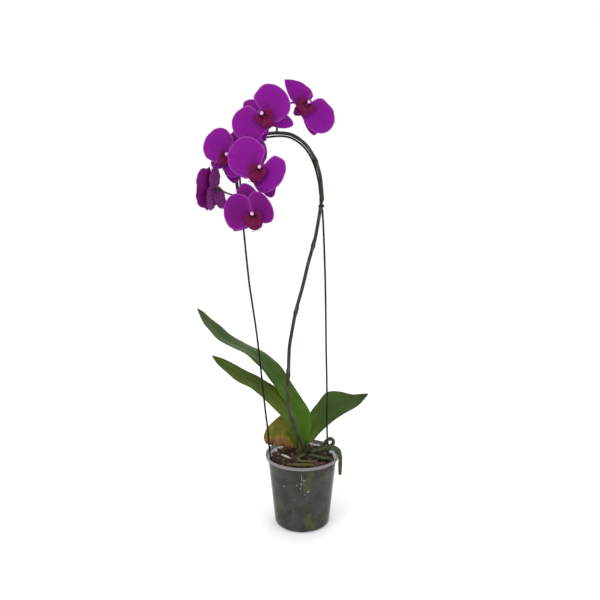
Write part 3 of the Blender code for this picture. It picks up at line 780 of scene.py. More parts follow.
@dataclass(frozen=True)
class RootSkin(Finish):
    """Air root: green where damp, under a thin silver-grey skin, with a fresher growing tip."""

    green: Colour = (0.030, 0.050, 0.012)
    silver: Colour = (0.068, 0.086, 0.044)
    tip: Colour = (0.040, 0.075, 0.012)
    earth: Colour = (0.050, 0.032, 0.016)

    def plain(self) -> dict[str, Any]:
        """Nearly dull."""
        return {"Specular IOR Level": 0.2}

    def paint(self, graph: Graph) -> None:
        """Silver patches stretched along the root, and a dusting of bark."""
        along = graph.split(graph.marks())[1]
        patch = graph.noise(graph.marks((3, 9)), 1.3, 4, 0.6).between(0.40, 0.66)
        dust = graph.noise(graph.place(), 420, 3).between(0.60, 0.72)
        skin = graph.blend(patch, self.green, self.silver)
        skin = graph.blend(along.between(0.90, 0.97), skin, self.tip)
        graph.set("Base Color", graph.blend(dust * 0.6, skin, self.earth))
        graph.set("Roughness", 0.50 + patch * 0.25)
        graph.bump(graph.noise(graph.place(), 900, 3) * 0.6 + patch * 0.4, 0.0004)


@dataclass(frozen=True)
class PetalSkin(Finish):
    """Velvety petal: deep colour at its foot, branching veins and a lighter edge, which is a painted glow
    of light through the thin margin.
    """

    foot: Colour = (0.088, 0.0007, 0.070)
    body: Colour = (0.182, 0.0020, 0.212)
    far: Colour = (0.200, 0.0045, 0.230)
    # edge: painted glow of light through the thin margin
    edge: Colour = (0.340, 0.050, 0.370)
    vein: Colour = (0.120, 0.0008, 0.140)

    def plain(self) -> dict[str, Any]:
        """A soft sheen, as of tiny cells that stand up like velvet."""
        return {"Sheen Weight": 0.03, "Sheen Roughness": 0.45, "Sheen Tint": (0.95, 0.40, 1.0, 1),
                "Specular IOR Level": 0.10}

    def paint(self, graph: Graph) -> None:
        """Veins fan out from the foot: sine of a slope x / (y + 1.3), bent by noise."""
        across, along, _ = graph.split(graph.marks())
        x, y = across * 2 - 1, along * 2 - 1
        reach = (x * x + y * y) ** 0.5
        cloud = graph.noise(graph.marks(), 5, 3)
        slope = x / (y + 1.3)
        main = (slope * 34 + cloud * 5).wave() ** 5
        fine = (slope * 90 + cloud * 14 + reach * 5).wave() ** 4
        veins = main * 0.7 + fine * reach * 0.4
        skin = graph.blend(along.between(0.02, 0.42), self.foot, self.body)
        skin = graph.blend(reach.between(0.3, 1.0), skin, self.far)
        skin = graph.blend(veins * 0.28, skin, self.vein)
        skin = graph.blend(cloud.between(0.45, 0.75) * 0.3, skin, self.far)
        # the lighter rim is painted light shining through the thin margin
        graph.set("Base Color", graph.blend(reach.between(0.90, 1.0) * 0.8, skin, self.edge))
        graph.set("Roughness", 0.46 + cloud * 0.16)
        cells = graph.cells(graph.place(), 2600)
        graph.bump(veins * 0.6 + cells * 0.25 + cloud * 0.15, 0.00045, 0.8)


@dataclass(frozen=True)
class LipSkin(Finish):
    """Waxy dark crimson lip, with painted shade that darkens its throat, and red-brown freckles towards
    its foot.
    """

    body: Colour = (0.120, 0.0010, 0.045)
    rim: Colour = (0.135, 0.0018, 0.075)
    freckle: Colour = (0.200, 0.020, 0.022)
    # painted shade for the hollow of the throat
    throat_painted_shade: Colour = (0.040, 0.0005, 0.012)

    def plain(self) -> dict[str, Any]:
        """A weak waxy shine."""
        return {"Coat Weight": 0.02, "Coat Roughness": 0.25, "Specular IOR Level": 0.08}

    def paint(self, graph: Graph) -> None:
        """Freckles from scattered cells, thinning out towards the tip."""
        across, along, _ = graph.split(graph.marks())
        off = abs(across * 2 - 1)
        spots = graph.cells(graph.place(), 620).between(0.30, 0.18)
        stripe = (across * 46 + graph.noise(graph.marks(), 6) * 4).wave() ** 2
        skin = graph.blend(off.between(0.6, 1.0), self.body, self.rim)
        # painted shade: darker towards the throat
        skin = graph.blend(along.between(0.16, 0.0) * 0.8, skin, self.throat_painted_shade)
        skin = graph.blend(stripe * along.between(0.8, 0.2) * 0.18, skin, self.freckle)
        graph.set("Base Color", graph.blend(spots * along.between(0.75, 0.35) * 0.5, skin, self.freckle))
        graph.set("Roughness", 0.38 + spots * 0.15)
        graph.bump(stripe * 0.5 + spots * 0.5, 0.0003)


@dataclass(frozen=True)
class ColumnSkin(Finish):
    """Waxy column: rosy at its foot and nearly white at its cap."""

    foot: Colour = (0.120, 0.002, 0.110)
    cap: Colour = (0.700, 0.420, 0.680)

    def plain(self) -> dict[str, Any]:
        """Waxy."""
        return {"Coat Weight": 0.15, "Coat Roughness": 0.25, "Specular IOR Level": 0.25}

    def paint(self, graph: Graph) -> None:
        """Pale towards the cap, which the mesh marks with its tone."""
        cloud = graph.noise(graph.place(), 700, 3)
        graph.set("Base Color", graph.blend(graph.tone() + (cloud - 0.5) * 0.25, self.foot, self.cap))
        graph.set("Roughness", 0.36 + cloud * 0.15)
        graph.bump(cloud, 0.0002)


@dataclass(frozen=True)
class DryRoot(Finish):
    """Papery whitish skin of a dead root, with brown showing where it is torn."""

    paper: Colour = (0.58, 0.55, 0.48)
    torn: Colour = (0.20, 0.15, 0.10)

    def paint(self, graph: Graph) -> None:
        """Torn streaks along the root."""
        tear = graph.noise(graph.marks((8, 4)), 2, 4, 0.65)
        graph.set("Base Color", graph.blend(tear.between(0.50, 0.68), self.paper, self.torn))
        graph.set("Roughness", 0.8 + tear * 0.1)
        graph.bump(tear, 0.0008)


@dataclass(frozen=True)
class StudioWhite(Finish):
    """Matt white sheet of the studio."""

    def plain(self) -> dict[str, Any]:
        """White and dull."""
        return {"Base Color": (1, 1, 1, 1), "Roughness": 1.0, "Specular IOR Level": 0.0}


POT_PLASTIC = SmokedPlastic("smoked_plastic", "pot_plastic")
WATER = ClearDrop("water_drop", "pot_plastic")
BARK = BarkFinish("pine_bark", "bark")
WIRE = CoatedWire("coated_wire", "wire")
TIE = SoftTie("soft_tie", "tie")
SPIKE_SKIN = StemSkin("spike_skin", "spike")
SCALE_SKIN = StemSkin("scale_skin", "spike", old=(0.026, 0.020, 0.014), young=(0.070, 0.058, 0.038),
                      bloom=(0.110, 0.092, 0.068))
CROWN_SKIN = StemSkin("crown_skin", "crown", old=(0.035, 0.034, 0.010), young=(0.055, 0.085, 0.010),
                      bloom=(0.110, 0.090, 0.030))
STALK_SKIN = StemSkin("stalk_skin", "column", old=(0.022, 0.012, 0.020), young=(0.045, 0.046, 0.026),
                      bloom=(0.105, 0.040, 0.100))
ROOT_SKIN = RootSkin("root_skin", "root")
AGED_ROOT = RootSkin("aged_root_skin", "root", green=(0.050, 0.052, 0.012),
                     silver=(0.105, 0.080, 0.034), tip=(0.105, 0.055, 0.022))
DRY_ROOT = DryRoot("dry_root", "root_pale")
OLD_LEAF = OldLeafSkin("old_leaf_skin", "leaf_old")
PETAL = PetalSkin("petal_skin", "petal")
LIP = LipSkin("lip_skin", "lip")
CALLUS = LipSkin("callus_skin", "lip", body=(0.130, 0.016, 0.016), rim=(0.120, 0.006, 0.022),
                 freckle=(0.090, 0.003, 0.015))
COLUMN = ColumnSkin("column_skin", "column")


# ---------------------------------------------------------------- studio

@dataclass
class Studio:
    """White floor, soft even light and the camera."""

    lens: float = 38.1
    eye: Point = (-0.0036, -0.979, 0.5432)
    tilt: float = 10.0                 # degrees that the camera looks down
    floor_size: float = 8.0
    lamps: tuple[tuple[str, Point, float, float], ...] = (
        ("key_lamp", (-1.1, -1.3, 1.7), 1.3, 13.0),
        ("fill_lamp", (1.5, -0.9, 1.1), 1.3, 5.0),
        ("back_lamp", (0.4, 1.4, 1.4), 1.0, 5.0))
    aim: Point = (-0.03, 0.0, 0.40)

    def build(self) -> None:
        """Set up the camera, the lamps, the world and the floor."""
        self.camera()
        for name, where, size, power in self.lamps:
            self.lamp(name, where, size, power)
        self.world()
        self.floor()

    def camera(self) -> None:
        """Put the camera at the eye, level in roll and tilted down."""
        data = bpy.data.cameras.new("camera")
        data.lens = self.lens
        camera = bpy.data.objects.new("camera", data)
        camera.location = self.eye
        camera.rotation_euler = (math.radians(90 - self.tilt), 0, 0)
        bpy.context.scene.collection.objects.link(camera)
        bpy.context.scene.camera = camera

    def lamp(self, name: str, where: Point, size: float, power: float) -> None:
        """Hang a soft square lamp that faces the plant.

        Args:
            name: The lamp's name.
            where: Its place.
            size: Its side.
            power: Its power in watts.
        """
        data = bpy.data.lights.new(name, "AREA")
        data.size = size
        data.energy = power
        lamp = bpy.data.objects.new(name, data)
        lamp.location = where
        lamp.rotation_mode = "QUATERNION"
        reach = Vector(self.aim) - Vector(where)
        lamp.rotation_quaternion = reach.to_track_quat("-Z", "Y")
        bpy.context.scene.collection.objects.link(lamp)

    def world(self) -> None:
        """White all round."""
        world = bpy.data.worlds.new("white_room")
        world.use_nodes = True
        sky = world.node_tree.nodes["Background"]
        sky.inputs["Color"].default_value = (1, 1, 1, 1)
        sky.inputs["Strength"].default_value = 1.0
        bpy.context.scene.world = world
        bpy.context.scene.view_settings.view_transform = "Standard"

    def floor(self) -> None:
        """Lay the floor just under the pot."""
        a, b = lattice(2, 2)
        patch = Patchwork("floor")
        half = self.floor_size / 2
        patch.grid(np.stack([a * half, b * half, 0 * a - 0.0002], -1), a, b)
        floor = bpy.data.objects.new("floor", patch.mesh())
        floor.data.materials.append(StudioWhite("studio_white", "").material())
        bpy.context.scene.collection.objects.link(floor)


# ---------------------------------------------------------------- pot and bark

@dataclass
class Pot:
    """Thin tapered nursery pot with a turned-out rim, drain holes and beads of water."""

    wall_top: float = 0.0560           # outside of the wall just under the rim
    base: float = 0.0445
    wall: float = 0.0012
    rim_depth: float = 0.0046
    foot_round: float = 0.0050
    steps: int = 160
    drain_holes: int = 12
    drain_radius: float = 0.0030
    beads: tuple[tuple[float, float, float, float], ...] = (   # bearing, height, width, length
        (-1.0, 0.1010, 0.0007, 0.0130), (2.8, 0.0945, 0.0045, 0.0008), (-1.8, 0.0885, 0.0016, 0.0024),
        (-9.5, 0.0860, 0.0013, 0.0018), (-3.0, 0.0800, 0.0014, 0.0018), (9.5, 0.0735, 0.0026, 0.0015),
        (11.5, 0.0748, 0.0012, 0.0026), (4.0, 0.0692, 0.0010, 0.0013), (-33.0, 0.0800, 0.0012, 0.0022))

    def radius(self, z: Array | float) -> Array | float:
        """Outside radius of the tapered wall at a height."""
        return self.base + (self.wall_top - self.base) * z / (POT_TOP - self.rim_depth)

    def profile(self) -> Array:
        """Section of the pot as (radius, height) from the middle of its underside, up the outside,
        over the rim and down the inside, with round arcs at the foot and a rolled rim."""
        under, foot, bead = POT_TOP - self.rim_depth, self.foot_round, self.wall * 0.75
        turn = np.linspace(0, math.pi / 2, 9)
        heel = np.stack([self.radius(foot) - foot * (1 - np.sin(turn)),
                         foot * (1 - np.cos(turn))], -1)
        z = np.linspace(foot, under, 24)[1:]
        outer = np.stack([self.radius(z), z], -1)
        low = np.stack([RIM_RADIUS - bead + bead * np.sin(turn), under + bead * (1 - np.cos(turn))], -1)
        high = np.stack([RIM_RADIUS - bead + bead * np.cos(turn), POT_TOP - bead + bead * np.sin(turn)],
                        -1)
        lip = np.array([(RIM_RADIUS - 1.7 * self.wall, POT_TOP), (RIM_RADIUS - 2.0 * self.wall,
                                                                  POT_TOP - self.wall * 0.5)])
        inner = np.stack([self.radius(z[::-1]) - self.wall, z[::-1]], -1)
        hollow = foot - self.wall
        bowl = np.stack([self.radius(foot) - self.wall - hollow * (1 - np.cos(turn)),
                         foot - hollow * np.sin(turn)], -1)
        return np.concatenate([[(0, 0)], heel, outer, low, high, lip, inner, bowl, [(0, self.wall)]])

    def drains(self) -> Patchwork:
        """Bars that stand where the drain holes go, leaning out through the foot."""
        patch = Patchwork("drain_bars")
        for i in range(self.drain_holes):
            bearing = FULL_TURN / self.drain_holes * (i + 0.5)
            out = np.array([math.cos(bearing), math.sin(bearing), 0])
            lean = unit(out * 0.77 + np.array([0, 0, -0.64]))
            middle = out * (self.base - self.foot_round * 0.5) + [0, 0, self.foot_round * 0.4]
            ends = middle + lean * np.linspace(-1.3, 1.3, 3)[:, None] * self.foot_round
            patch.tube(Rail(ends), lambda run: np.full(run.shape, self.drain_radius), 20)
        return patch

    def shell(self) -> bpy.types.Object:
        """Turn the section about Z, then cut the drain holes."""
        profile = self.profile()
        angle = np.linspace(0, FULL_TURN, self.steps + 1)[:, None]
        patch = Patchwork("pot_shell")
        patch.grid(turned(profile, angle), angle / FULL_TURN, np.linspace(0, 1, len(profile))[None, :])
        shell = show(patch, POT_PLASTIC, "pot")
        bars = bpy.data.objects.new("drain_bars", self.drains().mesh())
        bpy.context.scene.collection.objects.link(bars)
        cut = shell.modifiers.new("drains", "BOOLEAN")
        cut.object = bars
        graph = bpy.context.evaluated_depsgraph_get()
        carved = bpy.data.meshes.new_from_object(shell.evaluated_get(graph))
        shell.modifiers.clear()
        shell.data = carved
        bpy.data.objects.remove(bars)
        shell.data.shade_smooth()
        shell.data.set_sharp_from_angle(angle=math.radians(38))
        return shell

    def water(self) -> bpy.types.Object:
        """Beads and one run of water on the outside: flattened domes set a little into the wall."""
        ball, quads = ball_lattice(4)
        patch = Patchwork("water_beads")
        dice = np.random.default_rng(5)
        spray = [(bearing, height, size, size * 1.2) for bearing, height, size in zip(
            dice.uniform(-75, 75, 26), dice.uniform(0.02, 0.10, 26), dice.uniform(0.0005, 0.0010, 26))]
        for bearing, height, width, length in list(self.beads) + spray:
            turn = math.radians(bearing - 90)
            out = np.array([math.cos(turn), math.sin(turn), 0])
            side = np.array([-math.sin(turn), math.cos(turn), 0])
            depth = min(width, length) * 0.35
            middle = out * (self.radius(height) - 0.0001) + [0, 0, height]
            points = (middle + ball[:, :1] * side * width / 2 + ball[:, 1:2] * out * depth
                      + ball[:, 2:] * np.array([0, 0, length / 2]))
            patch.facets(points, quads, ball[:, :2], 0.0)
        return show(patch, WATER)

    def build(self) -> None:
        """Make the shell and the water on it."""
        self.shell()
        self.water()


@dataclass
class Bark:
    """Bark filling: a lumpy body, with chips lying on top and others pressed against the wall."""

    pot: Pot
    top: float
    clear_of: tuple[tuple[float, float, float], ...]     # (x, y, radius) kept free of chips
    top_chips: int = 330
    wall_chips: int = 620
    shyness: float = 0.0007                             # gap between a chip and the wall

    def body(self) -> bpy.types.Object:
        """A turned solid inside the chips, its radius and its top moved by an uneven field."""
        low, gap = self.pot.wall + CLEARANCE, 0.0034
        z = np.linspace(low, self.top - 0.0045, 70)
        wall = np.stack([self.pot.radius(z) - self.pot.wall - gap, z], -1)
        lid = np.stack([np.linspace(wall[-1, 0], 0, 26)[1:], np.full(25, z[-1])], -1)
        base = np.stack([np.linspace(0, wall[0, 0] - 0.004, 12), np.full(12, low)], -1)
        profile = np.concatenate([base, wall, lid])
        angle = np.linspace(0, FULL_TURN, 221)[:, None]
        flat = turned(profile, angle)
        field_value = ripple(flat, 0.011, 21) + 0.5 * ripple(flat, 0.005, 22)
        out = unit(np.concatenate([flat[..., :2], 0 * flat[..., :1]], -1))
        side, above = np.zeros(len(profile)), np.zeros(len(profile))
        side[len(base):len(base) + len(wall)] = 1
        above[len(base) + len(wall) + 2:] = 1
        middle = smooth_step(np.hypot(flat[..., 0], flat[..., 1]), 0.0, 0.004)
        points = (flat + out * (np.clip(field_value, -1.5, 1.0) * 0.0012 * side)[..., None]
                  + np.array([0, 0, 1]) * (field_value * middle * 0.0013 * above)[..., None])
        patch = Patchwork("bark_body")
        patch.grid(points, angle / FULL_TURN, np.linspace(0, 1, len(profile))[None, :],
                   0.25 + 0.1 * field_value)
        return show(patch, BARK, "bark_mix")

    def chips(self, name: str, middles: Array, frames: Array, sizes: Array, seed: int) -> bpy.types.Object:
        """Broken pieces of bark: rounded boxes |x|^5 + |y|^5 + |z|^5 = 1, made uneven.

        Args:
            name: The piece's name.
            middles: Centre of each chip.
            frames: Three square directions of each chip: length, width and thickness.
            sizes: Length, width and thickness of each chip.
            seed: Picks their shapes and shades.

        Returns:
            One object with all the chips.
        """
        cube, quads = pebble_lattice(3)
        round_box = cube / (np.abs(cube) ** 5).sum(-1, keepdims=True) ** 0.2
        dice = np.random.default_rng(seed)
        count = len(middles)
        jag = 1 + 0.24 * dice.normal(size=(count, len(cube), 3)).clip(-1.2, 1.2)
        taper = 1 + dice.uniform(-0.35, 0.35, (count, 1)) * round_box[None, :, 0]
        local = round_box[None] * jag * sizes[:, None, :] / 2
        local[..., 1] *= taper
        bow = dice.uniform(-0.25, 0.25, (count, 1)) * round_box[None, :, 0] ** 2
        local[..., 2] += bow * sizes[:, None, 2]
        points = middles[:, None, :] + np.einsum("cpk,ckd->cpd", local, frames)
        faces = (quads[None] + np.arange(count)[:, None, None] * len(cube)).reshape(-1, 4)
        tone = np.repeat(dice.uniform(0, 1, count), len(cube)).reshape(count, len(cube))
        patch = Patchwork(name)
        marks = np.broadcast_to(round_box[None, :, :2], (count, len(cube), 2))
        patch.facets(points, faces, marks, tone)
        return show(patch, BARK, flat=True)

    def on_top(self) -> None:
        """Chips in a sunflower spread over the surface, tilted every way, higher in the middle."""
        dice = np.random.default_rng(31)
        k = np.arange(self.top_chips) + 0.5
        reach = np.sqrt(k / self.top_chips) * (self.pot.wall_top - 0.0075)
        bearing = k * math.pi * (3 - math.sqrt(5)) + dice.uniform(-0.2, 0.2, len(k))
        x, y = reach * np.cos(bearing), reach * np.sin(bearing)
        calm = smooth_step(reach, 0.052, 0.034)
        z = self.top - 0.0025 + dice.uniform(-0.0015, 0.0022, len(k)) + 0.0022 * calm
        free = np.ones(len(k), bool)
        for cx, cy, radius in self.clear_of:
            free &= np.hypot(x - cx, y - cy) > radius
        middles = np.stack([x, y, z], -1)[free]
        count = len(middles)
        thick = unit(np.stack([dice.normal(0, 0.45, count), dice.normal(0, 0.45, count),
                               np.ones(count)], -1))
        turn = dice.uniform(0, FULL_TURN, count)
        length = unit(np.cross(thick, np.stack([np.cos(turn), np.sin(turn), 0 * turn], -1)))
        frames = np.stack([length, np.cross(thick, length), thick], 1)
        sizes = np.stack([dice.uniform(0.0055, 0.0115, count), dice.uniform(0.004, 0.0075, count),
                          dice.uniform(0.002, 0.0042, count)], -1)
        self.chips("bark_chips_top", middles, frames, sizes, 32)

    def at_wall(self) -> None:
        """Chips that lie flat against the inside of the wall."""
        dice = np.random.default_rng(41)
        count = self.wall_chips
        bearing = np.arange(count) * math.pi * (3 - math.sqrt(5))
        z = self.pot.foot_round + 0.003 + (self.top - 0.008 - self.pot.foot_round) * (
            np.arange(count) + 0.5) / count
        thick = dice.uniform(0.0012, 0.0026, count)
        out = np.stack([np.cos(bearing), np.sin(bearing), 0 * bearing], -1)
        reach = self.pot.radius(z) - self.pot.wall - self.shyness - thick * 0.62
        middles = out * reach[:, None] + np.stack([0 * z, 0 * z, z], -1)
        turn = dice.uniform(0, FULL_TURN, count)
        side = np.stack([-np.sin(bearing), np.cos(bearing), 0 * bearing], -1)
        up = np.array([0.0, 0.0, 1.0])
        length = side * np.cos(turn)[:, None] + up * np.sin(turn)[:, None]
        frames = np.stack([length, np.cross(out, length), out], 1)
        sizes = np.stack([dice.uniform(0.004, 0.0085, count), dice.uniform(0.003, 0.0055, count),
                          thick], -1)
        self.chips("bark_chips_wall", middles, frames, sizes, 42)

    def build(self) -> None:
        """Make the body and both layers of chips."""
        self.body()
        self.on_top()
        self.at_wall()


# ---------------------------------------------------------------- hoop, spike and ties

@dataclass
class Supports:
    """The wire hoop, the flower spike that is led over it, and the ties between them."""

    wire: float = 0.0015
    spike_foot: float = 0.0029
    spike_tip: float = 0.0025
    tie: float = 0.0007
    buried: float = 0.0900
    foot_squeeze: tuple[float, float] = (0.78, 0.80)      # how the legs lean in under the bark
    hoop_left: tuple[Point, ...] = (
        (-0.0515, -0.013, 0.000), (-0.0555, -0.013, 0.046), (-0.060, -0.012, 0.088),
        (-0.070, -0.010, 0.190), (-0.0775, -0.008, 0.247), (-0.083, -0.005, -0.297),
        (-0.0905, 0.002, -0.219), (-0.0930, 0.005, -0.184), (-0.0950, 0.008, -0.152),
        (-0.0949, 0.009, -0.1325), (-0.0908, 0.010, -0.1158), (-0.0830, 0.011, -0.1018),
        (-0.0710, 0.012, -0.0902), (-0.0585, 0.012, -0.0838))
    hoop_right: tuple[Point, ...] = (
        (-0.0460, 0.012, -0.0816), (-0.0325, 0.012, -0.0809), (-0.0188, 0.012, -0.0829),
        (-0.0064, 0.012, -0.0896), (0.0043, 0.0122, -0.0991), (0.0120, 0.0125, -0.1103),
        (0.0184, 0.0130, -0.1240), (0.0230, 0.0142, -0.1400), (0.0258, 0.0145, -0.1535),
        (0.0276, 0.0145, -0.1700), (0.0300, 0.0142, -0.1860), (0.0320, 0.0130, -0.2050),
        (0.0350, 0.012, -0.269), (0.0370, 0.013, -0.333), (0.0385, 0.013, 0.171),
        (0.040, 0.014, 0.114), (0.041, 0.014, 0.032), (0.042, 0.014, 0.000))
    spike_low: tuple[Point, ...] = (
        (0.0005, -0.0085, 0.0060), (0.001, -0.0125, 0.0155), (-0.004, -0.015, 0.030),
        (-0.012, -0.019, 0.054), (-0.020, -0.022, 0.078), (-0.023, -0.023, 0.110),
        (-0.0215, -0.022, 0.145), (-0.021, -0.021, 0.164), (-0.020, -0.020, 0.183),
        (-0.017, -0.017, 0.202), (-0.010, -0.011, 0.238), (-0.000, -0.004, -0.311),
        (0.009, 0.002, -0.274), (0.014, 0.004, -0.256), (0.0195, 0.006, -0.237),
        (0.0245, 0.0075, -0.210), (0.0275, 0.0080, -0.191))
    spike_high: tuple[Point, ...] = (
        (0.0300, 0.0085, -0.170), (0.0287, 0.0092, -0.152), (0.0268, 0.0108, -0.138),
        (0.0222, 0.0120, -0.1225), (0.0157, 0.0120, -0.1082), (0.0077, 0.0120, -0.0962),
        (-0.0038, 0.0120, -0.0858), (-0.0174, 0.0120, -0.0785), (-0.0320, 0.0120, -0.0763),
        (-0.0470, 0.0120, -0.0766), (-0.0600, 0.0115, -0.0790), (-0.0740, 0.0110, -0.0860),
        (-0.0870, 0.0100, -0.0985), (-0.0955, 0.0090, -0.1140), (-0.0995, 0.0070, -0.1320),
        (-0.0995, 0.0020, -0.1520), (-0.0960, -0.0060, -0.1700))
    knots: tuple[tuple[float, float], ...] = (             # share of the spike, bearing of the scale
        (0.075, 250), (0.20, 70), (0.345, 255), (0.50, 75), (0.605, 100), (0.69, 110))
    scale_length: float = 0.0125
    ties: tuple[tuple[str, Point], ...] = (
        ("spike_tie_right", (0.0315, 0.010, -0.186)), ("spike_tie_left", (-0.057, 0.012, -0.082)))

    def __post_init__(self) -> None:
        """Lay out both centre lines."""
        left, right = place(self.hoop_left), place(self.hoop_right)
        feet = [leg - [0, 0, self.buried] for leg in (left[0], right[-1])]
        for foot, squeeze in zip(feet, self.foot_squeeze):
            foot[:2] *= squeeze
        self.hoop = Rail(np.vstack([feet[0], left, right, feet[1]]))
        self.spike = Rail(place(self.spike_low + self.spike_high))

    def spike_radius(self, run: Array) -> Array:
        """Even taper, with a swelling of a quarter at each knot."""
        share = run / self.spike.length
        swell = sum(bell(share, knot, 0.0045) for knot, _ in self.knots)
        return (self.spike_foot + (self.spike_tip - self.spike_foot) * share) * (1 + 0.24 * swell)

    def scale_leaf(self, patch: Patchwork, knot: float, bearing: float) -> None:
        """Papery scale at a knot: a wedge wrapped round the stem that narrows to a point and lifts.

        Its angle is bearing + across * 95 degrees * (1 - along)^0.6, and its radius is the stem's plus a
        lift that grows with the square of along.

        Args:
            patch: Mesh that takes the scale.
            knot: Share of the spike at its foot.
            bearing: Direction that its middle faces, in degrees.
        """
        a, b = lattice(21, 25)
        along = (b + 1) / 2
        run = knot * self.spike.length + along * self.scale_length
        angle = math.radians(bearing) + a * math.radians(95) * (1 - along) ** 0.6
        lift = 0.00055 + 0.0011 * along ** 2
        half = 0.00022 * np.sqrt(np.clip((1 - a ** 4) * (1 - b ** 4), 0, 1))
        points = self.spike.around(run, angle, self.spike_radius(run) * 0.98 + lift)
        patch.sheet(points, half, (a + 1) / 2, along)

    def tie_loop(self, patch: Patchwork, where: Array) -> None:
        """Two turns of soft tie round wire and stem: a flattened helix about the line between them.

        Args:
            patch: Mesh that takes the tie.
            where: Place near which the two are tied.
        """
        i, j = self.hoop.nearest(where), self.spike.nearest(where)
        stem, wire = self.spike.points[j], self.hoop.points[i]
        side, ahead = unit(stem - wire), self.hoop.ahead[i]
        lift = np.cross(side, ahead)
        reach = np.linalg.norm(stem - wire) / 2 + self.spike_foot + self.tie + CLEARANCE
        height = self.spike_foot + self.tie + CLEARANCE
        t = np.linspace(0, 2 * FULL_TURN, 60)[:, None]
        loop = ((stem + wire) / 2 + side * reach * np.cos(t) + lift * height * np.sin(t)
                + ahead * 0.0013 * (t / FULL_TURN - 1))
        patch.tube(Rail(loop, 0.0004), lambda run: np.full(run.shape, self.tie), 12, 0.0005)

    def build(self) -> None:
        """Make the wire, the spike, its scales and the ties."""
        wire = Patchwork("hoop_wire")
        wire.tube(self.hoop, lambda run: np.full(run.shape, self.wire), 16, 0.003)
        show(wire, WIRE, "support_hoop")
        stem = Patchwork("spike_stem")
        stem.tube(self.spike, self.spike_radius, 28, 0.0015)
        show(stem, SPIKE_SKIN, "flower_spike")
        scales = Patchwork("spike_scales")
        for knot, bearing in self.knots:
            self.scale_leaf(scales, knot, bearing)
        show(scales, SCALE_SKIN)
        for name, where in self.ties:
            patch = Patchwork(name + "_loops")
            self.tie_loop(patch, place([where])[0])
            show(patch, TIE, name)


# ---------------------------------------------------------------- leaves, crown and roots

@dataclass
class Leaf:
    """A strap-shaped blade, spread between the two edges of its stations.

    A station is a centre and half the width as a vector. The blade is folded along its keel, most of
    all at its foot, where it clasps the crown.
    """

    node: str
    finish: Finish
    stations: tuple[tuple[Point, Point], ...]
    fold: float
    thickness: float = 0.0018
    wave: float = 0.0006               # how far the edges rise and fall
    crease: float = 0.0                # how deep the lower edge is wrinkled

    def blade(self) -> tuple[Array, Array, Array]:
        """Middle surface of the blade.

        Point = centre + half * across + keel, where the keel sinks by width * fold * (1 - |across|),
        rounded at the midrib, less a bulge of sin(pi |across|) on each side of it.

        Returns:
            The points, and the across and along coordinates from -1 to 1.
        """
        a, b = lattice(45, 211)
        share = (b + 1) / 2
        centres = place([centre for centre, _ in self.stations])
        halves = np.array([half for _, half in self.stations])
        centre, half = sampled(centres, share), sampled(halves, share)
        ahead = sampled(centres, share + 0.02) - sampled(centres, share - 0.02)
        ahead[share > 0.98] = (centres[-1] - sampled(centres, 0.97))
        width = np.linalg.norm(half, axis=-1)[..., None]
        down = unit(np.cross(half, ahead))
        down = np.where(down[..., 2:] < 0, down, -down)
        clasp = self.fold * (1 + 2.2 * smooth_step(share, 0.22, 0.02))[..., None]
        off = np.sqrt(a ** 2 + 0.004)[..., None]
        keel = down * width * (clasp * (1.03 - off) - 0.07 * np.sin(np.pi * np.abs(a))[..., None])
        points = centre + half * a[..., None] + keel
        rise = self.wave * np.abs(a) ** 2 * ripple(centre, 0.045, len(self.node))
        rise = rise * smooth_step(share, 0.08, 0.3) * smooth_step(share, 1.0, 0.9)
        lower = smooth_step(a, 0.1, -1.0)
        wrinkle = self.crease * lower * (ripple(points, 0.009, 3) + 0.5 * ripple(points, 0.0045, 4))
        return points - down * (rise + wrinkle)[..., None], a, b

    def build(self) -> bpy.types.Object:
        """Give the blade a thickness that is full along the midrib and fades at the edges."""
        points, a, b = self.blade()
        half = self.thickness / 2 * (1 + 0.5 * bell(a, 0, 0.10))
        half = half * np.sqrt(np.clip(1 - a ** 6, 0, 1)) * np.clip((1 - b ** 2) * 9, 0, 1) ** 0.5
        patch = Patchwork(self.node + "_blade")
        patch.sheet(points, half, (a + 1) / 2, (b + 1) / 2)
        return show(patch, self.finish, self.node)


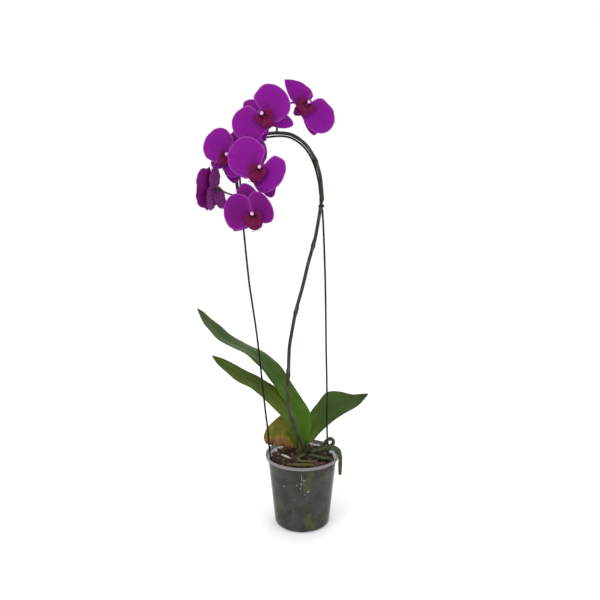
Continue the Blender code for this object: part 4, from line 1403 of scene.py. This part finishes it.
LEAVES = (
    Leaf("leaf_upper_left",
         LeafSkin("leaf_skin_upper_left", "leaf"),
         (((0.0015, 0.001, 0.000), (0.0040, 0.0040, 0.000)),
          ((0.003, 0.003, 0.0240), (0.0100, 0.0050, 0.000)),
          ((-0.0012, 0.0085, 0.0623), (0.0155, 0.0075, -0.003)),
          ((-0.0158, 0.012, 0.0883), (0.0160, 0.0110, -0.004)),
          ((-0.030, 0.016, 0.1103), (0.0150, 0.0150, -0.004)),
          ((-0.045, 0.019, 0.1313), (0.0140, 0.0180, -0.002)),
          ((-0.0645, 0.021, 0.1523), (0.0120, 0.0200, -0.001)),
          ((-0.0885, 0.022, 0.1683), (0.0095, 0.0205, -0.002)),
          ((-0.1185, 0.022, 0.1833), (0.0090, 0.0195, -0.001)),
          ((-0.1425, 0.021, 0.2053), (0.0065, 0.0145, 0.001)),
          ((-0.160, 0.020, 0.2263), (0.0030, 0.0070, 0.001)),
          ((-0.168, 0.020, 0.2363), (0.0003, 0.0007, 0.000))), 0.16),
    Leaf("leaf_lower_left",
         LeafSkin("leaf_skin_lower_left", "leaf", foot=(0.050, 0.110, 0.004),
                  middle=(0.078, 0.112, 0.013), tip=(0.066, 0.100, 0.017)),
         (((-0.0030, 0.000, 0.001), (0.0030, 0.0035, 0.000)),
          ((-0.0075, -0.002, 0.0220), (0.0060, 0.0045, 0.000)),
          ((-0.0185, -0.0035, 0.0588), (0.0090, 0.0050, 0.002)),
          ((-0.0320, 0.001, 0.0808), (0.0095, 0.0085, 0.0065)),
          ((-0.0505, 0.004, 0.0983), (0.0080, 0.0120, 0.0070)),
          ((-0.072, 0.008, 0.1148), (0.0070, 0.0130, 0.005)),
          ((-0.094, 0.008, 0.1258), (0.0070, 0.0130, 0.005)),
          ((-0.115, 0.004, 0.1418), (0.0065, 0.0110, 0.003)),
          ((-0.131, 0.000, 0.1548), (0.0045, 0.0070, 0.002)),
          ((-0.143, -0.003, 0.1648), (0.0003, 0.0007, 0.000))), 0.14),
    Leaf("leaf_right",
         LeafSkin("leaf_skin_right", "leaf", foot=(0.066, 0.126, 0.004), middle=(0.040, 0.074, 0.008),
                  tip=(0.040, 0.064, 0.018)),
         (((0.0040, 0.003, 0.001), (0.0030, 0.0035, 0.0020)),
          ((0.0095, 0.009, 0.0225), (0.0010, 0.0055, 0.010)),
          ((0.0160, 0.018, 0.0370), (-0.0040, 0.0090, 0.018)),
          ((0.029, 0.033, 0.0488), (-0.0030, 0.0115, 0.021)),
          ((0.047, 0.0455, 0.0628), (-0.0050, 0.0130, 0.021)),
          ((0.068, 0.048, 0.0698), (-0.0040, 0.0140, 0.0145)),
          ((0.089, 0.047, 0.0738), (-0.0030, 0.0110, 0.007)),
          ((0.102, 0.045, 0.0798), (-0.0010, 0.0055, 0.004)),
          ((0.111, 0.044, 0.0858), (-0.0002, 0.0008, 0.0002))), 0.12),
    Leaf("leaf_old", OLD_LEAF,
         (((-0.0045, 0.001, 0.0010), (-0.0005, 0.0030, 0.0020)),
          ((-0.0085, 0.003, 0.0190), (-0.0010, 0.0045, 0.0110)),
          ((-0.0165, 0.003, 0.0310), (0.0010, 0.0080, 0.0210)),
          ((-0.0270, 0.003, 0.0380), (0.0010, 0.0100, 0.0240)),
          ((-0.0390, 0.002, 0.037), (0.0020, 0.0110, 0.0215)),
          ((-0.0510, 0.002, 0.033), (0.0030, 0.0090, 0.0165)),
          ((-0.0590, 0.001, 0.0295), (0.0010, 0.0050, 0.0105)),
          ((-0.0625, 0.000, 0.028), (0.0001, 0.0008, 0.0008))), 0.10, wave=0.0014, crease=0.0013))


@dataclass
class Crown:
    """Short stem between the roots and the leaves, wrapped in the feet of old leaves."""

    radius: float = 0.0075
    height: float = 0.0140             # above the rim
    sunk: float = 0.0170
    heart: tuple[float, float] = (0.0, 0.002)
    sheaths: tuple[tuple[float, float, float], ...] = (    # bearing, foot and top above the rim
        (205, -0.006, 0.0190), (15, -0.006, 0.0200), (120, -0.005, 0.0210), (265, -0.007, 0.0120))

    def stem(self) -> bpy.types.Object:
        """Round stem with three shallow rings where leaves were: radius * (1 + ring bumps)."""
        x, y = self.heart
        rail = Rail(place([(x, y, 0.0)]) + np.linspace(
            (0, 0, -self.sunk), (0, 0, self.height), 5))
        patch = Patchwork("crown_stem")
        patch.tube(rail, lambda run: self.radius * (1 - 0.25 * smooth_step(run, 0.02, 0.031)
                                                    + 0.06 * np.cos(run / 0.0042 * FULL_TURN) ** 4),
                   36, 0.0007)
        return show(patch, CROWN_SKIN, "plant_crown")

    def sheath(self, patch: Patchwork, bearing: float, foot: float, top: float) -> None:
        """The foot of a leaf, clasping the stem: a shell that leans out and narrows to the top.

        Args:
            patch: Mesh that takes the sheath.
            bearing: Direction of its middle, in degrees.
            foot: Its lower edge above the rim.
            top: Its upper edge above the rim.
        """
        a, b = lattice(31, 25)
        along = (b + 1) / 2
        angle = math.radians(bearing) + a * np.radians(78 - 30 * along)
        reach = self.radius * (1.03 + 0.10 * along - 0.10 * a ** 2)
        z = POT_TOP + foot + (top - foot) * along - 0.004 * a ** 2 * along
        points = np.stack([self.heart[0] + reach * np.cos(angle), self.heart[1] + reach * np.sin(angle),
                           z], -1)
        points = points + unit(points - points.mean((0, 1))) * 0.0002 * ripple(
            points, 0.006, int(bearing))[..., None]
        half = 0.0006 * np.sqrt(np.clip((1 - a ** 4) * (1 - b ** 6), 0, 1))
        patch.sheet(points, half, (a + 1) / 2, along)

    def build(self) -> None:
        """Make the stem and its sheaths."""
        self.stem()
        patch = Patchwork("crown_sheaths")
        for bearing, foot, top in self.sheaths:
            self.sheath(patch, bearing, foot, top)
        show(patch, CROWN_SKIN)


@dataclass
class Root:
    """An air root: its route, its radius at foot, middle and tip, and how uneven it is."""

    node: str
    route: tuple[Point, ...]
    radii: tuple[float, ...]
    finish: Finish = ROOT_SKIN
    uneven: float = 0.10
    hang: float = 0.0                  # how far it hangs straight down after its route
    spread: tuple[float, ...] = (0.0, 0.5, 1.0)        # shares of the length at which the radii hold
    dive: float = 0.0                  # how far its end goes down into the bark

    def line(self) -> Array:
        """World points of the route."""
        points = place(self.route)
        if self.hang:
            drop = points[-1] - np.outer((0.5, 1.0), (0, 0, self.hang))
            points = np.vstack([points, drop])
        if self.dive:
            onward = points[-1] + (points[-1] - points[-2]) * 0.45 - np.array([0, 0, self.dive])
            points = np.vstack([points, onward])
        return points

    def build(self) -> bpy.types.Object:
        """Carry a slightly uneven circle along the route."""
        rail = Rail(self.line(), 0.0007)

        def girth(run: Array) -> Array:
            """Radius from foot to tip, with soft swellings."""
            share = run / rail.length
            even = np.interp(share, self.spread, self.radii)
            return even * (1 + self.uneven * np.sin(share * 17 + len(self.node)) * np.sin(share * 41))

        patch = Patchwork(self.node + "_skin")
        patch.tube(rail, girth, 22, 0.0008)
        return show(patch, self.finish, self.node)


def roots() -> tuple[Root, ...]:
    """The six air roots: three along the bark, one that curls up, a dried one, and one over the rim."""
    thick = 0.0033
    out = RIM_RADIUS + thick + CLEARANCE
    x, y = math.cos(math.radians(-20)), math.sin(math.radians(-20))
    over = ((0.013, -0.001, 0.0015), (0.026, -0.004, 0.0050), (0.038, -0.009, 0.0110),
            (0.80 * out * x, 0.80 * out * y, 0.0160), (0.955 * out * x, 0.955 * out * y, 0.0130),
            (1.015 * out * x, 1.015 * out * y, 0.0015))
    return (
        Root("root_front_arc", ((0.004, -0.0120, 0.0010), (-0.003, -0.0180, 0.0020),
                                (-0.007, -0.0255, 0.0005), (-0.004, -0.0320, 0.0000),
                                (0.005, -0.0345, 0.0000), (0.017, -0.0350, 0.0000)),
             (0.0028, 0.0026, 0.0020), AGED_ROOT, dive=0.0040),
        Root("root_along_rim", ((-0.024, -0.0440, 0.0000), (-0.012, -0.0475, 0.0010),
                                (0.002, -0.0490, 0.0010), (0.015, -0.0475, 0.0000)),
             (0.0018, 0.0028, 0.0022), AGED_ROOT, uneven=0.16, dive=0.0040),
        Root("root_right", ((0.012, -0.0110, 0.0010), (0.022, -0.0165, 0.0010),
                            (0.033, -0.0210, 0.0000), (0.044, -0.0240, 0.0000)),
             (0.0028, 0.0027, 0.0020), dive=0.0040),
        Root("root_curl", ((0.0265, 0.0135, 0.0000), (0.0310, 0.0095, 0.0060),
                           (0.0355, 0.0065, 0.0120), (0.0392, 0.0045, 0.0180),
                           (0.0430, 0.0028, 0.0225), (0.0485, 0.0015, 0.0228),
                           (0.0512, 0.0008, 0.0182), (0.0485, 0.0000, 0.0138),
                           (0.0445, -0.0005, 0.0130)), (0.0034, 0.0031, 0.0029)),
        Root("root_dried", ((-0.034, -0.0080, 0.0005), (-0.027, -0.0135, 0.0000),
                            (-0.019, -0.0210, 0.0000)), (0.0009, 0.0018, 0.0008), DRY_ROOT, 0.35),
        Root("root_over_rim", over, tuple(thick * k for k in (0.8, 1.25, 1.3, 1.0, 0.85)),
             hang=0.0300, spread=(0.0, 0.30, 0.45, 0.70, 1.0)))


# ---------------------------------------------------------------- flowers

class Kind(Enum):
    """The five tepals of a flower, by the name of their node."""

    RIGHT_PETAL = "right_petal"
    LEFT_PETAL = "left_petal"
    DORSAL_SEPAL = "dorsal_sepal"
    RIGHT_SEPAL = "right_sepal"
    LEFT_SEPAL = "left_sepal"


@dataclass
class Tepal:
    """A petal or sepal seen from its base: direction in degrees, size, and how it curves."""

    turn: float                # 0 is the flower's right and 90 its top
    length: float
    width: float
    set_off: float             # how far it stands in front of the flower's base plane
    sweep: float = 5           # degrees forward
    curl: float = 0.06         # how far the tip bends back
    cup: float = 0.03          # how far the margins bend forward
    foot: float = 1.8          # how full the sheet is beside its foot, 1 is a plain ellipse
    point: float = 0.0         # how much narrower the tip is
    ruffle: float = 0.0007     # how far the margin waves

    THICKNESS = 0.0009
    SEPAL_LENGTH = 0.0440
    CLAW = 0.0020              # where it begins, beside the flower's middle

    def surface(self, flower: "Flower", seed: int) -> tuple[Array, Array, Array, Array]:
        """Middle surface of the tepal: a disc drawn out along its direction, then bent.

        With x and y on the disc and along = (1 + y) / 2, the width is x * width / 2 * ears *
        (1 - point along^2). It lifts by sweep, sinks by curl * reach^2, cups with the square of the
        width, waves near its margin and is creased along its middle.

        Args:
            flower: The flower that it grows on.
            seed: Picks its waves.

        Returns:
            The points, half the thickness, and the disc's x and y.
        """
        x, y = disc_lattice(57)
        along, rim = (1 + y) / 2, np.hypot(x, y)
        ears = 1 + (self.foot - 1) * (1 - np.minimum(1, 2 * along)) ** 3
        across = x * self.width / 2 * ears * (1 - self.point * along ** 2)
        reach = along * self.length
        sweep = math.radians(self.sweep)
        lift = (self.set_off + reach * math.sin(sweep) - self.curl * reach ** 2 / self.SEPAL_LENGTH
                + self.cup * self.width * (2 * across / self.width) ** 2)
        dice = np.random.default_rng(seed)
        phase = dice.uniform(0, FULL_TURN, 3)
        around = np.arctan2(x, y)
        free = smooth_step(along, 0.12, 0.5) * rim ** 3
        lift += self.ruffle * free * (np.sin(5 * around + phase[0]) + 0.6 * np.sin(9 * around + phase[1])
                                      + 0.35 * np.sin(16 * around + phase[2]))
        lift -= 0.0006 * bell(x, 0, 0.07) * smooth_step(y, 0.9, -0.4)
        lift += 0.00035 * np.sin(x * 9 + phase[2]) * np.sin(y * 5 + phase[0]) * smooth_step(rim, 0.1, 0.6)
        out = self.CLAW + reach * math.cos(sweep)
        turn = math.radians(self.turn)
        right, up, front = flower.axes()
        ahead = right * math.cos(turn) + up * math.sin(turn)
        side = up * math.cos(turn) - right * math.sin(turn)
        points = (flower.centre() + out[..., None] * ahead + across[..., None] * side
                  + lift[..., None] * front)
        half = self.THICKNESS / 2 * (0.55 + 0.45 * smooth_step(along, 0.7, 0.0)) * np.sqrt(
            np.clip(1 - rim ** 8, 0, 1))
        return points, half, x, y


@dataclass
class Lip:
    """The lip: a front lobe with two tendrils, two side lobes that stand round the column, and the
    small knob between them. Its directions are the flower's right, up and front."""

    length: float = 0.0270
    width: float = 0.0260
    thickness: float = 0.0009

    START = 0.0055             # how far under the flower's centre it begins
    FULL_WIDTH = 0.026

    def scaled(self) -> float:
        """Size against a full lip."""
        return self.width / self.FULL_WIDTH

    def front_lobe(self, flower: "Flower", patch: Patchwork) -> None:
        """A rounded blade: it drops by 0.72 length * along, comes forward by length *
        (0.75 along - 0.55 along^3), and is widest a little past its middle."""
        x, y = disc_lattice(41)
        along = (1 + y) / 2
        wide = self.width / 2 * (0.66 + 0.20 * bell(along, 0.60, 0.30) - 0.04 * along ** 2)
        right = x * wide
        drop = self.START + self.length * 0.72 * along
        front = (0.0035 + self.length * (0.75 * along - 0.55 * along ** 3)
                 - 0.55 * np.abs(right) ** 1.4 / self.width ** 0.4 + 0.0011 * bell(x, 0, 0.16) * along)
        rise = 0.0012 * x ** 2 * bell(along, 0.5, 0.2)
        half = self.thickness / 2 * np.sqrt(np.clip(1 - np.hypot(x, y) ** 6, 0, 1))
        patch.sheet(flower.local(right, rise - drop, front), half, (x + 1) / 2, along)

    def side_lobe(self, flower: "Flower", patch: Patchwork, hand: int) -> None:
        """A wing on a disc: its middle line leaves the lip's foot sideways and turns up and
        forward, and its edges bend in towards the column.

        Args:
            flower: The flower that it belongs to.
            patch: Mesh that takes the lobe.
            hand: 1 on the flower's right and -1 on its left.
        """
        x, y = disc_lattice(33)
        along = (1 + y) / 2
        s = self.scaled()
        out = 0.0012 + 0.0118 * np.sin(along * 1.5) - 0.0020 * x ** 2
        rise = -0.0112 + 0.0062 * along ** 1.25 - 0.0080 * x * (1 + 0.95 * (1 - along) ** 2)
        front = 0.0040 + 0.0056 * np.sin(along * 1.9) + 0.0014 * x - 0.0012 * x ** 2
        half = self.thickness * 0.45 * np.sqrt(np.clip(1 - np.hypot(x, y) ** 6, 0, 1))
        points = flower.local(hand * out * s, rise * s, front * s)
        patch.sheet(points, half, (x + 1) / 2, 0.35 * along)

    def tendril(self, flower: "Flower", patch: Patchwork, hand: int) -> None:
        """A thread from the lobe's tip that curls out, up and back towards the front."""
        t = np.linspace(0, 1, 9)
        s = self.scaled()
        tip = self.START + self.length * 0.70
        right = hand * s * (0.0004 + 0.0052 * np.sin(t * 2.6))
        up = -tip - s * (0.0018 * np.sin(t * 3.1) - 0.0046 * t ** 2)
        front = self.length * 0.20 + 0.0035 + s * 0.0045 * np.sin(t * 2.2)
        rail = Rail(flower.local(right, up, front), 0.0003)
        patch.tube(rail, lambda run: 0.00042 - 0.00022 * run / rail.length, 10, 0.0004)

    def knob(self, flower: "Flower") -> bpy.types.Object:
        """Two-lobed knob between the side lobes: a ball with a furrow down its middle."""
        ball, quads = ball_lattice(8)
        s = self.scaled()
        furrow = 1 - 0.22 * bell(ball[:, 0], 0, 0.22)
        points = flower.local(0.0023 * s * ball[:, 0] * furrow,
                              -0.0078 * s + 0.0017 * s * ball[:, 1] * furrow,
                              0.0072 * s + 0.0021 * s * ball[:, 2] * furrow)
        patch = Patchwork(flower.name + "_lip_knob")
        patch.facets(points, quads, (ball[:, :2] + 1) / 2, 0.0)
        return show(patch, CALLUS)

    def build(self, flower: "Flower") -> None:
        """Make the lip in two pieces: its lobes and its knob."""
        patch = Patchwork(flower.name + "_lip_lobes")
        self.front_lobe(flower, patch)
        for hand in (-1, 1):
            self.side_lobe(flower, patch, hand)
            self.tendril(flower, patch, hand)
        show(patch, LIP, flower.name + "_lip")
        self.knob(flower)


@dataclass
class Flower:
    """A flower: heart is its centre, then the way it faces in degrees, and its stalk."""

    name: str
    heart: Point
    yaw: float
    pitch: float
    roll: float
    stalk: tuple[Point, ...]
    tweaks: dict[Kind, dict[str, float]] = field(default_factory=dict)
    lip: Lip = field(default_factory=Lip)
    finish: Finish = PETAL

    COLUMN_RADIUS = 0.0026
    COLUMN_LENGTH = 0.0090
    SEAT = 0.0066                      # radius of the seat that carries the tepals
    STALK_RADIUS = 0.0015
    SEPAL_WIDTH = 0.0290

    def axes(self) -> tuple[Array, Array, Array]:
        """Right, up and forward directions of the flower's face."""
        yaw, pitch, roll = (math.radians(v) for v in (self.yaw, self.pitch, self.roll))
        front = np.array([math.sin(yaw) * math.cos(pitch), -math.cos(yaw) * math.cos(pitch),
                          math.sin(pitch)])
        level = unit(np.cross((0, 0, 1), front))
        upright = np.cross(front, level)
        up = upright * math.cos(roll) + level * math.sin(roll)
        return np.cross(up, front), up, front

    def centre(self) -> Array:
        """World point of the heart."""
        return place([self.heart])[0]

    def local(self, right: Array | float, up: Array | float, front: Array | float) -> Array:
        """World points from distances along the flower's right, up and forward directions."""
        parts = np.broadcast_arrays(right, up, front)
        return self.centre() + sum(part[..., None] * way for part, way in zip(parts, self.axes()))

    def tepals(self) -> dict[Kind, Tepal]:
        """The five tepals. The tweaks give every petal's size, and a sepal's where it differs."""
        petal = {"set_off": 0.0012}
        sepal = {"length": Tepal.SEPAL_LENGTH, "width": self.SEPAL_WIDTH, "set_off": -0.0014,
                 "sweep": -2, "curl": 0.10, "cup": -0.02, "foot": 0.55, "point": 0.25,
                 "ruffle": 0.0004}
        plain = {Kind.RIGHT_PETAL: {"turn": 5, **petal}, Kind.LEFT_PETAL: {"turn": 175, **petal},
                 Kind.DORSAL_SEPAL: {"turn": 90, **sepal}, Kind.RIGHT_SEPAL: {"turn": -48, **sepal},
                 Kind.LEFT_SEPAL: {"turn": 228, **sepal, "set_off": -0.0028}}
        return {kind: Tepal(**{**sizes, **self.tweaks.get(kind, {})}) for kind, sizes in plain.items()}

    def stem_rail(self, spike: Rail) -> Rail:
        """Centre line of the stalk and the ovary, from inside the spike to the back of the flower."""
        stalk = place(self.stalk)
        root = spike.points[spike.nearest(stalk[0])]
        back = [self.local(0, 0, d) for d in (-0.010, -0.004, -0.001)]
        return Rail(np.vstack([root[None], stalk, *[b[None] for b in back]]), 0.0006)

    def stem(self, spike: Rail) -> bpy.types.Object:
        """Stalk that swells into a furrowed ovary: radius * (1 + 0.07 cos(6 angle))."""
        rail = self.stem_rail(spike)
        steps = np.linspace(0, FULL_TURN, 25)[None, :]

        def girth(run: Array) -> Array:
            """Taper from stalk to ovary, with six furrows that fade in."""
            share = run / rail.length
            even = self.STALK_RADIUS * (1.12 - 0.22 * smooth_step(share, 0.0, 0.2)
                                        + 0.55 * smooth_step(share, 0.55, 0.95))
            if run.shape[-1] != steps.shape[-1]:
                return even
            return even * (1 + 0.07 * smooth_step(share, 0.4, 0.7) * np.cos(6 * steps))

        patch = Patchwork(self.name + "_stalk")
        patch.tube(rail, girth, 24, 0.0008)
        return show(patch, STALK_SKIN)

    def column(self) -> bpy.types.Object:
        """Column, cap and seat: a bar that bows down a little, a helmet-shaped ball at its end, and a
        flat ball at its foot, where the tepals grow together."""
        t = np.linspace(-0.25, 0.82, 7)
        rail = Rail(self.local(0, 0.0006 - 0.0016 * t ** 2, self.COLUMN_LENGTH * t), 0.0004)
        patch = Patchwork(self.name + "_column_body")
        patch.tube(rail, lambda run: self.COLUMN_RADIUS * (0.80 + 0.22 * bell(run / rail.length, 0.72,
                                                                              0.25)), 22, 0.0006,
                   tone=0.15)
        ball, quads = ball_lattice(8)
        furrow = 1 - 0.14 * bell(ball[:, 0], 0, 0.18) * smooth_step(ball[:, 2], -0.2, 0.8)
        beak = 1 + 0.22 * smooth_step(-ball[:, 1], 0.1, 1.0) * smooth_step(ball[:, 2], 0.0, 0.8)
        points = self.local(self.COLUMN_RADIUS * 0.98 * ball[:, 0] * furrow,
                            -0.0006 + self.COLUMN_RADIUS * 0.95 * ball[:, 1] * beak,
                            self.COLUMN_LENGTH * 0.86 + self.COLUMN_RADIUS * 0.78 * ball[:, 2] * furrow)
        patch.facets(points, quads, (ball[:, :2] + 1) / 2, 1.0)
        seat = self.local(self.SEAT * ball[:, 0], self.SEAT * ball[:, 1], 0.0014 * ball[:, 2] - 0.0004)
        patch.facets(seat, quads, (ball[:, :2] + 1) / 2, 0.0)
        return show(patch, COLUMN, self.name + "_column")

    def build(self, spike: Rail) -> None:
        """Make the tepals, the lip, the column and the stalk that grows out of the spike."""
        for number, (kind, tepal) in enumerate(self.tepals().items()):
            node = f"{self.name}_{kind.value}"
            points, half, x, y = tepal.surface(self, int(self.name[-1]) * 10 + number)
            patch = Patchwork(node + "_sheet")
            patch.sheet(points, half, (x + 1) / 2, (y + 1) / 2)
            show(patch, self.finish, node)
        self.lip.build(self)
        self.column()
        self.stem(spike)


FLOWERS = (
    Flower("flower_1", (0.0085, 0.012, -0.032), 12, 4, 42,
           ((-0.0385, 0.0140, -0.0700), (-0.0330, 0.0210, -0.0500), (-0.0190, 0.0280, -0.0310)),
           {Kind.LEFT_PETAL: {"turn": 180, "length": 0.046, "width": 0.036, "foot": 1.9, "point": 0.70},
            Kind.RIGHT_PETAL: {"turn": -10, "length": 0.050, "width": 0.047},
            Kind.DORSAL_SEPAL: {"turn": 138, "length": 0.030, "width": 0.024, "sweep": -30},
            Kind.LEFT_SEPAL: {"turn": 262, "length": 0.025, "width": 0.018},
            Kind.RIGHT_SEPAL: {"turn": -34, "length": 0.046, "width": 0.026}}),
    Flower("flower_2", (-0.0595, -0.026, -0.052), 4, 2, -34,
           ((-0.0680, 0.0095, -0.0770), (-0.0700, 0.0010, -0.0660)),
           {Kind.LEFT_PETAL: {"turn": 188, "length": 0.047, "width": 0.050},
            Kind.RIGHT_PETAL: {"turn": 9, "length": 0.044, "width": 0.055},
            Kind.DORSAL_SEPAL: {"turn": 114, "length": 0.028, "width": 0.026},
            Kind.RIGHT_SEPAL: {"turn": -51, "length": 0.047, "width": 0.026}}),
    Flower("flower_3", (-0.1100, -0.008, -0.108), -15, -2, 33,
           ((-0.1030, 0.0075, -0.1240), (-0.1060, 0.0060, -0.1170)),
           {Kind.LEFT_PETAL: {"turn": 173, "length": 0.040, "width": 0.052},
            Kind.RIGHT_PETAL: {"turn": -9, "length": 0.034, "width": 0.050},
            Kind.RIGHT_SEPAL: {"length": 0.042, "sweep": -0.5},
            Kind.LEFT_SEPAL: {"turn": 243, "length": 0.034, "width": 0.026}},
           Lip(length=0.021, width=0.019)),
    Flower("flower_4", (-0.0598, -0.042, -0.128), -14, 2, 24,
           ((-0.0955, 0.0055, -0.1180), (-0.0800, -0.0080, -0.1240), (-0.0640, -0.0220, -0.1280)),
           {Kind.LEFT_PETAL: {"turn": 172, "length": 0.052, "width": 0.058},
            Kind.RIGHT_PETAL: {"turn": -15, "length": 0.036, "width": 0.058, "foot": 1.7},
            Kind.DORSAL_SEPAL: {"turn": 120, "length": 0.040, "width": 0.022},
            Kind.LEFT_SEPAL: {"turn": 240, "length": 0.024, "width": 0.022}}),
    Flower("flower_5", (-0.1335, -0.015, -0.160), -110, 2, 0,
           ((-0.1012, -0.0045, -0.1695), (-0.1130, -0.0110, -0.1660)),
           {Kind.LEFT_PETAL: {"length": 0.035, "width": 0.056, "sweep": 16, "foot": 2.6},
            Kind.RIGHT_PETAL: {"length": 0.035, "width": 0.058, "sweep": 16, "foot": 2.6},
            Kind.DORSAL_SEPAL: {"length": 0.032, "curl": 0.05, "foot": 1.5, "width": 0.036},
            Kind.LEFT_SEPAL: {"length": 0.034, "sweep": -6, "width": 0.032, "foot": 1.5},
            Kind.RIGHT_SEPAL: {"length": 0.036, "width": 0.034, "foot": 1.5}},
           # a darker, greyer copy of the petal finish: painted shade on this side-on flower
           finish=PetalSkin("petal_skin_painted_shade", "petal", body=(0.150, 0.0050, 0.135),
                            far=(0.165, 0.0060, 0.150), foot=(0.110, 0.0030, 0.090),
                            edge=(0.200, 0.0150, 0.190), vein=(0.125, 0.0020, 0.105))),
    Flower("flower_6", (-0.0725, -0.056, -0.193), 0, -6, -14,
           ((-0.0930, -0.0110, -0.1760), (-0.0850, -0.0230, -0.1850), (-0.0750, -0.0380, -0.1920)),
           {Kind.LEFT_PETAL: {"turn": 162, "length": 0.039, "width": 0.053, "foot": 1.5},
            Kind.RIGHT_PETAL: {"turn": 16, "length": 0.0285, "width": 0.050, "foot": 1.5},
            Kind.DORSAL_SEPAL: {"turn": 94, "length": 0.041, "width": 0.034},
            Kind.LEFT_SEPAL: {"turn": 210, "length": 0.038, "width": 0.028, "point": 0.6},
            Kind.RIGHT_SEPAL: {"turn": -78, "length": 0.024, "width": 0.018}},
           finish=PetalSkin("petal_skin_deep", "petal", body=(0.128, 0.0010, 0.132),
                            far=(0.165, 0.0040, 0.175), foot=(0.070, 0.0006, 0.060))))


def main() -> None:
    """Build the studio and every piece of the plant, in order."""
    logging.basicConfig(level=logging.INFO, format="%(message)s")
    Studio().build()
    pot = Pot()
    pot.build()
    supports = Supports()
    crown = Crown()
    legs = [(*supports.hoop.points[supports.hoop.nearest(np.array([x, y, BARK_TOP]))][:2], LEG_FREE)
            for x, y in (supports.hoop_left[0][:2], supports.hoop_right[-1][:2])]
    Bark(pot, POT_TOP - BARK_DEPTH, (*legs, (*crown.heart, CROWN_FREE))).build()
    supports.build()
    crown.build()
    for piece in (*LEAVES, *roots()):
        piece.build()
    for flower in FLOWERS:
        flower.build(supports.spike)
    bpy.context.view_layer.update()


if __name__ == "__main__":
    main()
